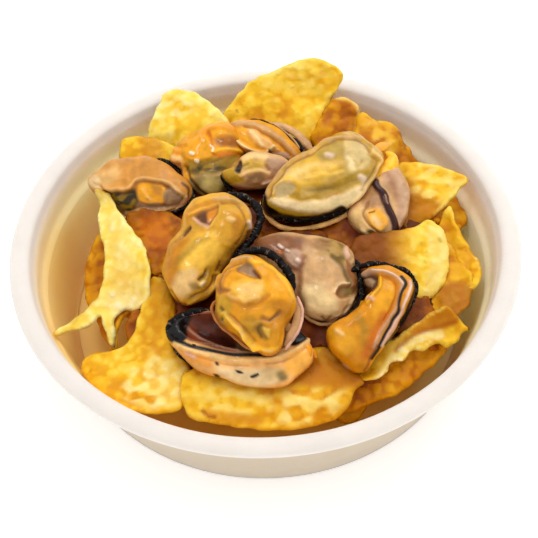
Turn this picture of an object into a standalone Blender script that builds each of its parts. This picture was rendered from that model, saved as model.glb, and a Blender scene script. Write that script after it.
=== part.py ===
"""A bowl of potato crisps with cooked mussels on top, at real size.

World units are metres. The bowl's axis is Z, its base rests on z = 0, and -Y faces the viewer.
The sizes below are in millimetres. Each crisp and mussel is drawn in a plane of its own: `at` is
the plane's middle, and `lean` says how far its normal tips towards +X and towards -Y.
"""

import math
import random

import bmesh
import bpy
from mathutils import Matrix, Vector

MM = 0.001
GAP = 0.3  # left between solids that touch

# Bowl
RIM_RADIUS = 80.0
BOWL_HEIGHT = 36.0
FOOT_RADIUS = 65.8
FLOOR_THICKNESS = 2.0
WALL = 1.6
LIP_WIDTH = 4.4
LIP_DEPTH = 3.4
LIP_ROUND = 1.2  # under the lip, where it meets the wall
LIP_STEPS = 6
STEP_HEIGHT = 24.0  # the stacking step, a ring round the wall
STEP_RADIUS = 71.6
STEP_WIDTH = 1.5
STEP_SLOPE = 1.2  # the height in which the wall widens
FLOOR_ROUND = 2.2
FOOT_ROUND = 1.2
BOWL_SEGMENTS = 64

# Heap
CORE_AT = (8.0, 3.0)
CORE_SEGMENTS = 28
CORE_BOTTOM = FLOOR_THICKNESS + 0.4
CORE_PROFILE = [  # radius and height, from the top down its outer side
    (0, 35), (26, 34), (42, 32.5), (49, 30), (54, 26), (56, 18), (52, 9), (48, CORE_BOTTOM),
    (0, CORE_BOTTOM),
]
CRISP_THICKNESS = 2.0
CRISP_CELL = 7.0
CRISP_CUTS = range(-4, 5)  # where the lines between cells run, counted in cells
UNDER_CRISPS = 10  # crisps that lie round the core, under the shown ones
UNDER_FROM_TO = (-125, 160)  # degrees round the core
UNDER_RING = 46.0
UNDER_HEIGHT = 29.0
UNDER_SIZE = 16.0
UNDER_POINTS = 8
SEED = 4
MERGE = 0.01  # points this close are made one
MERGE_AFTER_BOOLEANS = 0.04  # slivers in the joined heap

# Mussels
MUSSEL_SEGMENTS = 22
MUSSEL_RINGS = 8
FULLNESS = 2.3  # over 2 makes a mussel's section squarer than an ellipse
CURVE_STEPS = 12  # stretches of a drawn curve between two of its points

CRISPS = [
    {
        "name": "left", "at": (-45, -5, 33), "lean": (-0.45, 0.35), "bend": (0.02, -0.002, 0.006),
        "outline": [(-10, 28), (-6, 26), (-2, 19), (3, 12), (8, 4), (11, -3), (11, -10), (9, -15),
                    (5, -16.5), (-1, -16), (-3, -19), (-3, -24), (-4, -27), (-6, -22), (-7, -17),
                    (-10, -20), (-15, -22), (-19, -23.5), (-19, -22), (-15, -18), (-11, -14), (-8, -10),
                    (-6.5, -4), (-6, 3), (-7, 9), (-9, 15), (-9, 21)],
    },
    {
        "name": "left_behind", "at": (-48, -11, 26), "lean": (-0.6, 0.3), "bend": (0, 0, 0),
        "outline": [(-6, 22), (-9, 18), (-11, 12), (-12, 4), (-11, -1), (-8, -6), (-6, -11), (-4, -15),
                    (-1, -19), (1, -19), (2, -13), (5, -9), (12, -6), (13, 7), (4, 18)],
    },
    {
        "name": "front_left", "at": (-39.5, -41, 28), "lean": (-0.05, 0.1), "bend": (-0.008, 0.004, 0),
        "outline": [(2, 30), (8, 28), (12, 20), (10, 11), (11, 5), (15.5, -1), (17, -6), (15, -13),
                    (9.5, -17), (1, -17), (-8, -12.5), (-15, -6), (-17.5, 1), (-16, 5.5), (-8, 6),
                    (-2, 9), (-1, 17), (-1, 25)],
    },
    {
        "name": "front", "at": (3.5, -54.5, 29), "lean": (0, 0.3), "bend": (0.003, -0.01, 0),
        "outline": [(-22.5, 6), (-9, 14), (5, 14), (14, 13), (23, 3), (21, 0), (17.5, -6), (11, -9.5),
                    (1, -11), (-10, -10), (-19, -8), (-23, -3)],
    },
    {
        "name": "front_right_fold", "at": (43.5, -39, 29), "lean": (0, 0.5), "bend": (0, 0.05, 0),
        "outline": [(-16, -12), (-21, -7), (-22, 1), (-15, 2), (-8, 1), (0, 5.5), (8.5, 9.5), (13, 6),
                    (16, 3), (11.5, -1), (2.5, -2), (-4, -5), (-10, -9)],
    },
    {
        "name": "right_pale", "at": (49, -10.5, 34), "lean": (0.3, 0.3), "bend": (-0.008, -0.01, 0),
        "outline": [(-7.5, 7), (-2, 11), (5, 15), (9, 9), (9, 2), (7, -7), (1.5, -12.5), (-6, -14),
                    (-13, -9), (-14, -1)],
    },
    {
        "name": "right_tip", "at": (55, 17, 35), "lean": (0.15, 0.3), "bend": (0.008, -0.008, 0),
        "outline": [(-11, 9), (-2.5, 11), (6, 8), (12, 4), (8, -1), (3, -6), (-2.5, -11), (-9, -14),
                    (-13, -8), (-14, 1)],
    },
    {
        "name": "back_tall", "at": (9.5, 57.5, 41), "lean": (0, 0.7), "bend": (-0.006, 0.008, 0.004),
        "outline": [(-22, -6), (-15.5, 3), (-10, 8), (-3, 10), (5.5, 13), (11.5, 13), (20, 8.5),
                    (17, 1), (13, -6), (9, -16), (-6, -19), (-16, -14)],
    },
    {
        "name": "back_left", "at": (-23.5, 52, 39), "lean": (-0.15, 0.5), "bend": (-0.012, -0.01, 0),
        "outline": [(-15, -3), (-12, 4.5), (-8, 11.5), (0, 11), (7, 6), (13, -1), (12, -9), (3, -17),
                    (-7, -15), (-14, -9)],
    },
    {
        "name": "back_left_small", "at": (-40.5, 42.5, 35), "lean": (-0.2, 0.3), "bend": (0, -0.01, 0),
        "outline": [(-7, 1), (-6, 6), (0, 6), (7, 3), (14, -2), (16, -9), (8, -14), (-1, -10),
                    (-6, -4)],
    },
    {
        "name": "back_right_small", "at": (27.5, 50, 37), "lean": (0.1, 0.5), "bend": (-0.01, 0, 0),
        "outline": [(-7.5, -1), (-2, 7.5), (4, 7.5), (7.5, 3), (6, -5.5), (1, -13), (-6, -13),
                    (-10, -6)],
    },
    {
        "name": "back_right", "at": (42.5, 38, 36), "lean": (0.2, 0.4), "bend": (-0.01, -0.01, 0),
        "outline": [(-8, 12.5), (-3, 10), (3.5, 7), (6, 2), (9, -2.5), (10.5, -7), (3, -13), (-6, -10),
                    (-11, 0)],
    },
    {
        "name": "right_wall_outer", "at": (62, -3, 30), "lean": (-0.4, 0.2), "bend": (0, 0.006, 0),
        "outline": [(-2, 15), (-0.5, 7.5), (2, -0.5), (5, -9), (2.5, -17), (-4, -13), (-8, -2),
                    (-7, 9)],
    },
    {
        "name": "right_wall_inner", "at": (58.5, -13, 29.5), "lean": (-0.2, 0.2), "bend": (0, 0.006, 0),
        "outline": [(-2, 11), (2, 4), (5, -2), (3.5, -11), (-2, -16), (-9, -12), (-10, 3)],
    },
    {
        "name": "left_under", "at": (-33, 3, 34), "lean": (-0.1, 0.2), "bend": (-0.01, 0, 0),
        "outline": [(-10.5, 11), (0, 11), (8, 6), (8, -2), (4, -8), (1, -12), (-5, -12), (-10, 0)],
    },
    {
        "name": "front_right_under", "at": (30.5, -53, 22), "lean": (0.1, 0.3), "bend": (0, 0, 0),
        "outline": [(-10, -4), (-8, 6), (3, 12), (14, 16), (23, 16), (20, 11), (15, 7), (7, 1),
                    (1, -1)],
    },
]

# From the top of the pile down: each is cut back, by the gap, from those before it.
MUSSELS = [
    {
        "name": "mussel_golden", "at": (-4, -34.5, 45), "lean": (-0.05, 0.45), "rise": 7, "sink": 8,
        "spine": [(-1, 6), (3, -6)], "color": (0.83, 0.42, 0.03),
        "outline": [(-11, 4), (-9, 10), (-4, 14), (2, 14), (8, 9), (12, 3), (12, -2), (9, -7), (7, -13),
                    (3, -15), (-3, -11), (-8, -7), (-11, -2)],
    },
    {
        "name": "mussel_olive", "at": (18, 15, 44), "lean": (0.1, 0.3), "rise": 7, "sink": 9,
        "spine": [(-9, -3), (9, 6)], "color": (0.68, 0.47, 0.12),
        "outline": [(-18, -9), (-17, -4), (-13, 2), (-7, 8), (-1, 11), (4, 15), (11, 17), (17, 13),
                    (21, 8), (19, 2), (14, -5), (8, -10), (0, -13), (-8, -14), (-15, -12)],
    },
    {
        "name": "mussel_mustard", "at": (-18, -11, 43), "lean": (-0.15, 0.3), "rise": 7, "sink": 9,
        "spine": [(4, 11), (-3, 0), (-5, -9)], "color": (0.76, 0.40, 0.05),
        "outline": [(-13, -4), (-11, 2), (-7, 7), (-6, 12), (-3, 17), (3, 18), (9, 17), (14, 12),
                    (14, 6), (10, 0), (6, -5), (3, -9), (2, -13), (-3, -16), (-8, -16), (-12, -10)],
    },
    {
        "name": "mussel_beige", "at": (17, -21, 39), "lean": (0.1, 0.35), "rise": 7, "sink": 7,
        "spine": [(-8, 6), (2, -5)], "color": (0.66, 0.43, 0.22),
        "outline": [(-19, 12.5), (-13, 14.5), (-4, 13.5), (4, 12), (9, 8), (10, 2), (10.5, -4),
                    (8, -10), (3, -14), (-3, -13), (-8, -9.5), (-12, -4), (-15, 2), (-19, 8)],
    },
    {
        "name": "mussel_small", "at": (-1.5, 23, 42), "lean": (0, 0.6), "rise": 5, "sink": 6,
        "spine": [(-4, 0), (5, 0)], "color": (0.76, 0.55, 0.24),
        "outline": [(-11, -1), (-7, 1), (-5, 4), (-1, 6), (5, 5), (10, 3), (11, 0), (8, -3), (4, -5),
                    (-2, -6), (-7, -5)],
    },
    {
        "name": "mussel_orange", "at": (29.5, -36, 36), "lean": (0.25, 0.45), "rise": 6, "sink": 7,
        "spine": [(4, 9), (-5, -6)], "color": (0.80, 0.33, 0.02),
        "outline": [(-2, 14), (2, 16.5), (7, 17), (11, 15.5), (14.5, 12.5), (14.5, 8), (12, 3), (8, -3),
                    (3, -9), (-1.5, -14.5), (-5, -15.5), (-8, -13.5), (-12, -7), (-13, -2), (-11, 3),
                    (-7, 8)],
    },
    {
        "name": "mussel_boat", "at": (-9, -43, 34.5), "lean": (0, 0.35), "rise": 3, "sink": 9,
        "hollow": {"at": (-1, 5), "size": (17, 5.5), "turn": -0.2, "depth": 5.5},
        "spine": [(-11, 5), (12, -1)], "color": (0.78, 0.48, 0.18),
        "outline": [(-21, 6), (-19, 10), (-14, 12.5), (-7, 12.5), (2, 12), (10, 10), (17, 6), (21, 1),
                    (21.5, -4), (17, -8), (13, -11), (6, -11.5), (-4, -8.5), (-12, -5), (-18, 1)],
    },
    {
        "name": "mussel_hooded", "at": (1.5, 39, 40), "lean": (0.1, 0.3), "rise": 5, "sink": 7,
        "spine": [(-5, 1), (5, -3)], "color": (0.80, 0.45, 0.12),
        "outline": [(-13, 2), (-10, 6), (-4, 7), (3, 5), (9, -1), (12, -6), (8, -9), (1, -9), (-6, -7),
                    (-11, -3)],
    },
    {
        "name": "mussel_frilled", "at": (-18.5, 32.5, 38), "lean": (-0.15, 0.35), "rise": 6, "sink": 7,
        "spine": [(-2, -6), (5, 6)], "color": (0.78, 0.38, 0.04),
        "outline": [(-11, 1), (-9, 5), (-6, 9), (0, 11), (7, 13), (12, 10), (14, 5), (13, 0), (12, -6),
                    (9, -11), (4, -13), (-1, -12), (-6, -8), (-7, -3)],
    },
    {
        "name": "mussel_peach", "at": (-39.5, 24, 36), "lean": (-0.15, 0.25), "rise": 6, "sink": 7,
        "spine": [(-8, 3), (8, -1)], "color": (0.78, 0.45, 0.18),
        "outline": [(-17, 4), (-13, 8), (-7, 11), (1, 11), (8, 8), (13, 3), (17, -3), (15, -8),
                    (8, -10), (0, -10), (-7, -8), (-14, -1)],
    },
    {
        "name": "mussel_tucked", "at": (37, 9.5, 37), "lean": (0.35, 0.4), "rise": 5, "sink": 7,
        "spine": [(3, 6), (0, -5)], "color": (0.66, 0.43, 0.22),
        "outline": [(5, 14), (9, 10), (10, 4), (9, -3), (6, -8), (1, -12), (-5, -11), (-10, -6),
                    (-10, -1), (-6, 3), (-2, 9)],
    },
]


def remove_all():
    for obj in list(bpy.data.objects):
        bpy.data.objects.remove(obj, do_unlink=True)


def collection(name, hidden=False):
    made = bpy.data.collections.new(name)
    bpy.context.scene.collection.children.link(made)
    made.hide_render = hidden
    return made


def material(name, color, roughness):
    made = bpy.data.materials.new(name)
    made.use_nodes = True
    shader = made.node_tree.nodes["Principled BSDF"]
    shader.inputs["Base Color"].default_value = (*color, 1)
    shader.inputs["Roughness"].default_value = roughness
    shader.inputs["Metallic"].default_value = 0
    made.diffuse_color = (*color, 1)
    return made


def add_object(name, mesh, group, matrix=None):
    obj = bpy.data.objects.new(name, mesh)
    group.objects.link(obj)
    if matrix is not None:
        obj.matrix_world = matrix
    return obj


def as_cutter(obj):
    obj.hide_render = True
    obj.display_type = "WIRE"
    return obj


def boolean(obj, name, operation, cutter):
    """Adds a Boolean by one object, or by every object of a collection."""
    modifier = obj.modifiers.new(name, "BOOLEAN")
    modifier.operation = operation
    modifier.solver = "MANIFOLD"
    if isinstance(cutter, bpy.types.Collection):
        modifier.operand_type = "COLLECTION"
        modifier.collection = cutter
    else:
        modifier.object = cutter


def apply_modifiers(obj):
    bpy.context.view_layer.update()
    graph = bpy.context.evaluated_depsgraph_get()
    mesh = bpy.data.meshes.new_from_object(obj.evaluated_get(graph))
    obj.modifiers.clear()
    obj.data = mesh


def linked_faces(start):
    """The faces reached from this one over edges that only two faces share."""
    found, front = {start}, [start]
    while front:
        for edge in front.pop().edges:
            if len(edge.link_faces) != 2:
                continue
            new = [face for face in edge.link_faces if face not in found]
            found.update(new)
            front.extend(new)
    return found


def keep_largest_piece(mesh, merge):
    """Drops loose scraps. The inner wall of a sealed hollow is one too, so it is filled."""
    bm = bmesh.new()
    bm.from_mesh(mesh)
    bmesh.ops.remove_doubles(bm, verts=bm.verts, dist=merge)
    left, largest = set(bm.faces), set()
    while left:
        piece = linked_faces(next(iter(left)))
        left -= piece
        largest = max(largest, piece, key=len)
    scraps = [face for face in bm.faces if face not in largest]
    bmesh.ops.delete(bm, geom=scraps, context="FACES")
    bm.to_mesh(mesh)
    bm.free()


def smooth_loop(points, steps):
    """A closed Catmull-Rom curve through the points, with `steps` stretches from each to the next."""
    loop = []
    for i in range(len(points)):
        a, b, c, d = (Vector(points[(i + k) % len(points)]) for k in (-1, 0, 1, 2))
        for step in range(steps):
            t = step / steps
            square = (2 * a - 5 * b + 4 * c - d) * t * t
            cube = (3 * b - a - 3 * c + d) * t ** 3
            loop.append((2 * b + (c - a) * t + square + cube) / 2)
    return loop


def even_loop(points, count):
    """The same curve as `count` points at even distances, anticlockwise from the first one."""
    fine = smooth_loop(points, CURVE_STEPS)
    area = sum(a.cross(b) for a, b in zip(fine, fine[1:] + fine[:1]))
    if area < 0:
        fine = fine[:1] + fine[:0:-1]
    lengths = [(b - a).length for a, b in zip(fine, fine[1:] + fine[:1])]
    stretch = sum(lengths) / count
    loop, passed, i = [], 0.0, 0
    for k in range(count):
        while passed + lengths[i] < k * stretch:
            passed += lengths[i]
            i += 1
        share = (k * stretch - passed) / lengths[i]
        loop.append(fine[i].lerp(fine[(i + 1) % len(fine)], share))
    return loop


def plane_matrix(at, lean):
    """Places a piece drawn in millimetres: its Z is the plane's normal, and its X points to the right."""
    normal = Vector((lean[0], -lean[1], 1)).normalized()
    right = Vector((1, 0, 0)) - normal * normal.x
    right.normalize()
    turn = Matrix((right, normal.cross(right), normal)).transposed().to_4x4()
    return Matrix.Translation(Vector(at) * MM) @ turn @ Matrix.Scale(MM, 4)


def turned(name, profile, segments, group):
    """A solid of revolution. The profile goes from the axis back to the axis, down its outer side."""
    mesh = bpy.data.meshes.new(name)
    points = [(radius * MM, 0, height * MM) for radius, height in profile]
    mesh.from_pydata(points, [(i, i + 1) for i in range(len(points) - 1)], [])
    obj = add_object(name, mesh, group)
    screw = obj.modifiers.new("turn", "SCREW")
    screw.steps = segments
    screw.render_steps = segments
    screw.use_merge_vertices = True
    screw.merge_threshold = MERGE * MM
    return obj


def inner_wall(gap):
    """The bowl's inside from its lip down to its floor, drawn in by the gap."""
    lip = RIM_RADIUS - LIP_WIDTH - gap
    step = STEP_RADIUS - WALL - gap
    foot = FOOT_RADIUS - WALL - gap
    floor = FLOOR_THICKNESS + gap
    return [
        (lip, BOWL_HEIGHT - LIP_DEPTH / 2),
        (lip - LIP_ROUND, BOWL_HEIGHT - LIP_DEPTH - LIP_ROUND / 2),
        (step + STEP_WIDTH, STEP_HEIGHT + STEP_SLOPE),
        (step, STEP_HEIGHT),
        (foot, floor + FLOOR_ROUND),
        (foot - FLOOR_ROUND, floor),
    ]


def outer_wall():
    """The bowl's outside from under its lip down to its base."""
    lip_bottom = BOWL_HEIGHT - LIP_DEPTH
    return [
        (RIM_RADIUS - LIP_ROUND, lip_bottom),
        (RIM_RADIUS - LIP_WIDTH + LIP_ROUND, lip_bottom),
        (STEP_RADIUS + STEP_WIDTH, STEP_HEIGHT + STEP_SLOPE - WALL / 2),
        (STEP_RADIUS, STEP_HEIGHT - WALL / 2),
        (FOOT_RADIUS, FOOT_ROUND),
        (FOOT_RADIUS - FOOT_ROUND, 0),
    ]


def lip_arc():
    """The rounded top of the rim, from its inner side over to its outer side."""
    half_width, half_depth = LIP_WIDTH / 2, LIP_DEPTH / 2
    middle = (RIM_RADIUS - half_width, BOWL_HEIGHT - half_depth)
    arc = []
    for k in range(1, LIP_STEPS + 1):
        angle = math.pi * (1 - k / LIP_STEPS)
        arc.append((middle[0] + half_width * math.cos(angle), middle[1] + half_depth * math.sin(angle)))
    return arc


def make_bowl(group):
    profile = [(0, FLOOR_THICKNESS), *reversed(inner_wall(0)), *lip_arc(), *outer_wall(), (0, 0)]
    obj = turned("bowl", profile, BOWL_SEGMENTS, group)
    obj.data.materials.append(material("bowl_fibre", (0.87, 0.82, 0.75), 0.7))


def make_room(group):
    """The space inside the bowl and above it, which the crisps are kept to."""
    wall = inner_wall(GAP)
    top = (wall[0][0], 2 * BOWL_HEIGHT)
    profile = [(0, top[1]), top, *wall, (0, FLOOR_THICKNESS + GAP)]
    return as_cutter(turned("room", profile, BOWL_SEGMENTS, group))


def bend_height(bend, x, y):
    return bend[0] * x * x + bend[1] * y * y + bend[2] * x * y


def make_crisp(spec, look, group):
    """A flat outline cut into cells, bent, and given its thickness."""
    bm = bmesh.new()
    bm.faces.new([bm.verts.new((*point, 0)) for point in smooth_loop(spec["outline"], 2)])
    for axis in (Vector((1, 0, 0)), Vector((0, 1, 0))):
        for k in CRISP_CUTS:
            everything = bm.verts[:] + bm.edges[:] + bm.faces[:]
            middle = axis * (k * CRISP_CELL)
            bmesh.ops.bisect_plane(bm, geom=everything, dist=MERGE, plane_co=middle, plane_no=axis)
    bmesh.ops.triangulate(bm, faces=bm.faces)
    for vert in bm.verts:
        vert.co.z = bend_height(spec["bend"], vert.co.x, vert.co.y)
    bmesh.ops.recalc_face_normals(bm, faces=bm.faces)
    mesh = bpy.data.meshes.new(spec["name"])
    bm.to_mesh(mesh)
    bm.free()
    mesh.materials.append(look)
    obj = add_object(spec["name"], mesh, group, plane_matrix(spec["at"], spec["lean"]))
    shell = obj.modifiers.new("thickness", "SOLIDIFY")
    shell.thickness = CRISP_THICKNESS
    shell.offset = -1
    return obj


def under_crisps():
    """Crisps leaning outwards round the core, which show between the upper ones."""
    draw = random.Random(SEED)
    first, last = UNDER_FROM_TO
    specs = []
    for k in range(UNDER_CRISPS):
        angle = math.radians(first + (last - first) * k / (UNDER_CRISPS - 1))
        x, y = (UNDER_RING * math.cos(angle), UNDER_RING * math.sin(angle))
        slope = draw.uniform(0.3, 0.5)
        outline = []
        for j in range(UNDER_POINTS):
            radius = UNDER_SIZE * draw.uniform(0.8, 1.1)
            turn = math.tau * j / UNDER_POINTS
            outline.append((radius * math.cos(turn), radius * math.sin(turn)))
        specs.append({
            "name": f"under_{k}", "at": (CORE_AT[0] + x, CORE_AT[1] + y, UNDER_HEIGHT),
            "lean": (slope * math.cos(angle), -slope * math.sin(angle)),
            "bend": (-0.012, draw.uniform(-0.01, 0.012), 0), "outline": outline,
        })
    return specs


def make_core(look, group):
    obj = turned("crisps", CORE_PROFILE, CORE_SEGMENTS, group)
    obj.location = (CORE_AT[0] * MM, CORE_AT[1] * MM, 0)
    obj.data.materials.append(look)
    apply_modifiers(obj)
    return obj


def make_heap(core, look, room, mussel_cutters, group):
    """Joins the crisps to the core, after each is kept inside the bowl and clear of the mussels."""
    for spec in CRISPS + under_crisps():
        crisp = make_crisp(spec, look, group)
        boolean(crisp, "in_bowl", "INTERSECT", room)
        boolean(crisp, "clear_of_mussels", "DIFFERENCE", mussel_cutters)
        apply_modifiers(crisp)
        if not crisp.data.polygons:
            bpy.data.objects.remove(crisp)
    boolean(core, "crisps", "UNION", group)
    apply_modifiers(core)
    keep_largest_piece(core.data, MERGE_AFTER_BOOLEANS * MM)
    for crisp in list(group.objects):
        bpy.data.objects.remove(crisp)


def nearest_on_line(line, point):
    """The point of a bent line that lies nearest to the given one."""
    best = None
    for a, b in zip(line, line[1:]):
        along = b - a
        share = min(1, max(0, (point - a).dot(along) / along.length_squared))
        spot = a + along * share
        if best is None or (spot - point).length < (best - point).length:
            best = spot
    return best


def mussel_mesh(spec):
    """A sphere drawn out to the mussel's outline, domed above its plane and below it."""
    spine = [Vector(point) for point in spec["spine"]]
    middle = sum(spine, Vector((0, 0))) / len(spine)
    edge = even_loop(spec["outline"], MUSSEL_SEGMENTS)
    roots = [nearest_on_line(spine, point) for point in edge]
    bm = bmesh.new()
    bmesh.ops.create_uvsphere(bm, u_segments=MUSSEL_SEGMENTS, v_segments=MUSSEL_RINGS, radius=1)
    for vert in bm.verts:
        out = min(1, math.hypot(vert.co.x, vert.co.y))
        k = round(math.atan2(vert.co.y, vert.co.x) / math.tau * MUSSEL_SEGMENTS) % MUSSEL_SEGMENTS
        root = middle.lerp(roots[k], 1 - (1 - out) ** 2)
        spot = root + (edge[k] - roots[k]) * out
        vert.co = (*spot, mussel_height(spec, out, vert.co.z, spot))
    bmesh.ops.triangulate(bm, faces=bm.faces)
    mesh = bpy.data.meshes.new(spec["name"])
    bm.to_mesh(mesh)
    bm.free()
    return mesh


def mussel_height(spec, out, side, spot):
    """How far the surface is from the mussel's plane, at the share `out` of the way to its edge."""
    dome = max(0, 1 - out ** FULLNESS) ** (1 / FULLNESS)
    if side < 0:
        return -spec["sink"] * dome
    return spec["rise"] * dome - hollow_depth(spec.get("hollow"), spot)


def hollow_depth(hollow, spot):
    """The depth of an oval hollow at a point of the mussel's plane."""
    if not hollow:
        return 0
    away = Matrix.Rotation(-hollow["turn"], 2) @ (spot - Vector(hollow["at"]))
    out = math.hypot(away.x / hollow["size"][0], away.y / hollow["size"][1])
    return hollow["depth"] * max(0, 1 - out ** 3)


def grown_cutter(name, mesh, matrix, group):
    """A hidden solid, larger than the mesh by the gap all round, to cut its neighbours with."""
    cutter = as_cutter(add_object(name + "_cutter", mesh, group, matrix))
    grow = cutter.modifiers.new("gap", "DISPLACE")
    grow.strength = GAP * MM / matrix.median_scale
    grow.mid_level = 0
    return cutter


def make_mussels(core_cutter, group, cutters):
    done = []
    for spec in MUSSELS:
        matrix = plane_matrix(spec["at"], spec["lean"])
        obj = add_object(spec["name"], mussel_mesh(spec), group, matrix)
        obj.data.materials.append(material(spec["name"], spec["color"], 0.25))
        cutter = grown_cutter(spec["name"], mussel_mesh({**spec, "hollow": None}), matrix, cutters)
        boolean(obj, "core", "DIFFERENCE", core_cutter)
        for other in done:
            boolean(obj, other.name, "DIFFERENCE", other)
        apply_modifiers(obj)
        keep_largest_piece(obj.data, MERGE)
        done.append(cutter)


def build():
    remove_all()
    part = collection("bowl_of_crisps_with_mussels")
    cutters = collection("cutters", hidden=True)
    mussel_cutters = collection("mussel_cutters", hidden=True)
    loose_crisps = collection("loose_crisps", hidden=True)
    crisp_look = material("crisp", (0.86, 0.52, 0.08), 0.6)
    make_bowl(part)
    core = make_core(crisp_look, part)
    bpy.context.view_layer.update()
    core_cutter = grown_cutter("core", core.data, core.matrix_world, cutters)
    make_mussels(core_cutter, part, mussel_cutters)
    make_heap(core, crisp_look, make_room(cutters), mussel_cutters, loose_crisps)


build()
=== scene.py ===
import math
import random

import bpy
import numpy as np
from mathutils import Matrix, Vector, geometry
from mathutils.bvhtree import BVHTree


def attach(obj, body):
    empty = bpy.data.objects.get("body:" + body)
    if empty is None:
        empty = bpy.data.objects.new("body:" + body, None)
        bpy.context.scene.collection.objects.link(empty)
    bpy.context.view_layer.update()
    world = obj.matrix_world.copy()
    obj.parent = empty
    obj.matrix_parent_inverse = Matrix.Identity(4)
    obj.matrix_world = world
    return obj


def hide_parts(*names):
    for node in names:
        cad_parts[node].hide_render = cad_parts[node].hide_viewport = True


# A bowl of potato crisps with cooked mussels on top. Sizes are in millimetres, as in the solids,
# and are made metres when a mesh is written.
# Marks on a piece, such as a lip, a crease or a stain, are lines and areas in the photograph's pixels.

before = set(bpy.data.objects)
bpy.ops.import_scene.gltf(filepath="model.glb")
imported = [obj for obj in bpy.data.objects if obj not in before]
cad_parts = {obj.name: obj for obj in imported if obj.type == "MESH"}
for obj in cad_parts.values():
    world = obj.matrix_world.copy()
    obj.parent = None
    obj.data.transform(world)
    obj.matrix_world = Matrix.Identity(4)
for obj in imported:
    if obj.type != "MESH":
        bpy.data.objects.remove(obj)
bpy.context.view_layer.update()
mm = 0.001

# the photograph's camera

photoView = {
    "pixels": 538,
    "lensAngle": 24,
    "elevation": 49.6,
    "roll": -3.0,
    "distance": 406.7,
    "target": (1.0, -0.9, 21.0),
}


def viewAxes():
    lift = math.radians(photoView["elevation"])
    roll = math.radians(photoView["roll"])
    back = np.array((0, -math.cos(lift), math.sin(lift)))
    across = np.array((1.0, 0, 0))
    up = np.cross(back, across)
    right = math.cos(roll) * across + math.sin(roll) * up
    return right, math.cos(roll) * up - math.sin(roll) * across, back


viewRight, viewUp, viewBack = viewAxes()
eye = np.array(photoView["target"]) + photoView["distance"] * viewBack
photoMiddle = photoView["pixels"] / 2
pixelsPerTan = photoMiddle / math.tan(math.radians(photoView["lensAngle"] / 2))


def photoPixels(points):
    away = points - eye
    depth = -(away @ viewBack)
    x = photoMiddle + pixelsPerTan * (away @ viewRight) / depth
    y = photoMiddle - pixelsPerTan * (away @ viewUp) / depth
    return np.stack((x, y), 1)


def onPlane(pixels, at, lean, lift):
    # the points of a piece's plane, raised by lift, that the photograph shows at these pixels
    normal = planeAxes(lean)[2]
    found = []
    for x, y in pixels:
        ray = (x - photoMiddle) * viewRight - (y - photoMiddle) * viewUp - pixelsPerTan * viewBack
        share = ((np.array(at) + lift * normal - eye) @ normal) / (ray @ normal)
        found.append(eye + share * ray)
    return np.array(found)


def makeCamera():
    camera = bpy.data.cameras.new("camera")
    camera.angle = math.radians(photoView["lensAngle"])
    camera.clip_start = 0.01
    obj = bpy.data.objects.new("camera", camera)
    bpy.context.scene.collection.objects.link(obj)
    turn = Matrix([Vector(axis) for axis in (viewRight, viewUp, viewBack)]).transposed()
    obj.matrix_world = Matrix.Translation(Vector(eye) * mm) @ turn.to_4x4()
    bpy.context.scene.camera = obj
    print("camera:", photoView["lensAngle"], "degree lens")


# curves and lumps

def planeAxes(lean):
    # a piece's own right, away and upward directions
    normal = np.array((lean[0], -lean[1], 1.0))
    normal /= np.linalg.norm(normal)
    right = np.array((1.0, 0, 0)) - normal * normal[0]
    right /= np.linalg.norm(right)
    return right, np.cross(normal, right), normal


def smoothLine(points, closed, steps=6):
    # a curve that passes through every point
    points = np.array(points, float)
    if len(points) < 3:
        return points
    if closed:
        around = np.concatenate((points[-1:], points, points[:2]))
    else:
        around = np.concatenate((2 * points[:1] - points[1:2], points, 2 * points[-1:] - points[-2:-1]))
    a, b, c, d = around[:-3], around[1:-2], around[2:-1], around[3:]
    curve = []
    for step in range(steps):
        t = step / steps
        square = (2 * a - 5 * b + 4 * c - d) * t * t
        cube = (3 * b - a - 3 * c + d) * t ** 3
        curve.append((2 * b + (c - a) * t + square + cube) / 2)
    curve = np.stack(curve, 1).reshape(-1, points.shape[1])
    return curve if closed else np.concatenate((curve, points[-1:]))


def evenPoints(curve, closed, count):
    # the same curve as points at even distances
    if closed:
        curve = np.concatenate((curve, curve[:1]))
    lengths = np.concatenate(([0], np.cumsum(np.linalg.norm(np.diff(curve, axis=0), axis=1))))
    spots = np.linspace(0, lengths[-1], count, endpoint=not closed)
    return np.stack([np.interp(spots, lengths, curve[:, k]) for k in range(curve.shape[1])], 1)


def evenOutline(outline, count):
    fine = smoothLine(outline, True, 12)
    ahead = np.roll(fine, -1, 0)
    if (fine[:, 0] * ahead[:, 1] - fine[:, 1] * ahead[:, 0]).sum() < 0:
        fine = np.concatenate((fine[:1], fine[:0:-1]))
    return evenPoints(fine, True, count)


def lineDistance(line, points):
    # the distance of every point from a bent line, and the nearest point of the line
    if len(line) == 1:
        return np.linalg.norm(points - line[0], axis=1), np.repeat(line, len(points), 0)
    best = np.full(len(points), np.inf)
    nearest = np.zeros((len(points), line.shape[1]))
    for a, b in zip(line, line[1:]):
        along = b - a
        share = np.clip((points - a) @ along / max(along @ along, 1e-9), 0, 1)
        spot = a + share[:, None] * along
        away = np.linalg.norm(points - spot, axis=1)
        closer = away < best
        best[closer] = away[closer]
        nearest[closer] = spot[closer]
    return best, nearest


def insideLoop(loop, points):
    inside = np.zeros(len(points), bool)
    x, y = points[:, 0], points[:, 1]
    for (ax, ay), (bx, by) in zip(loop, np.roll(loop, -1, 0)):
        if ay == by:
            continue
        crossing = (ay > y) != (by > y)
        inside ^= crossing & (x < ax + (bx - ax) * (y - ay) / (by - ay))
    return inside


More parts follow.
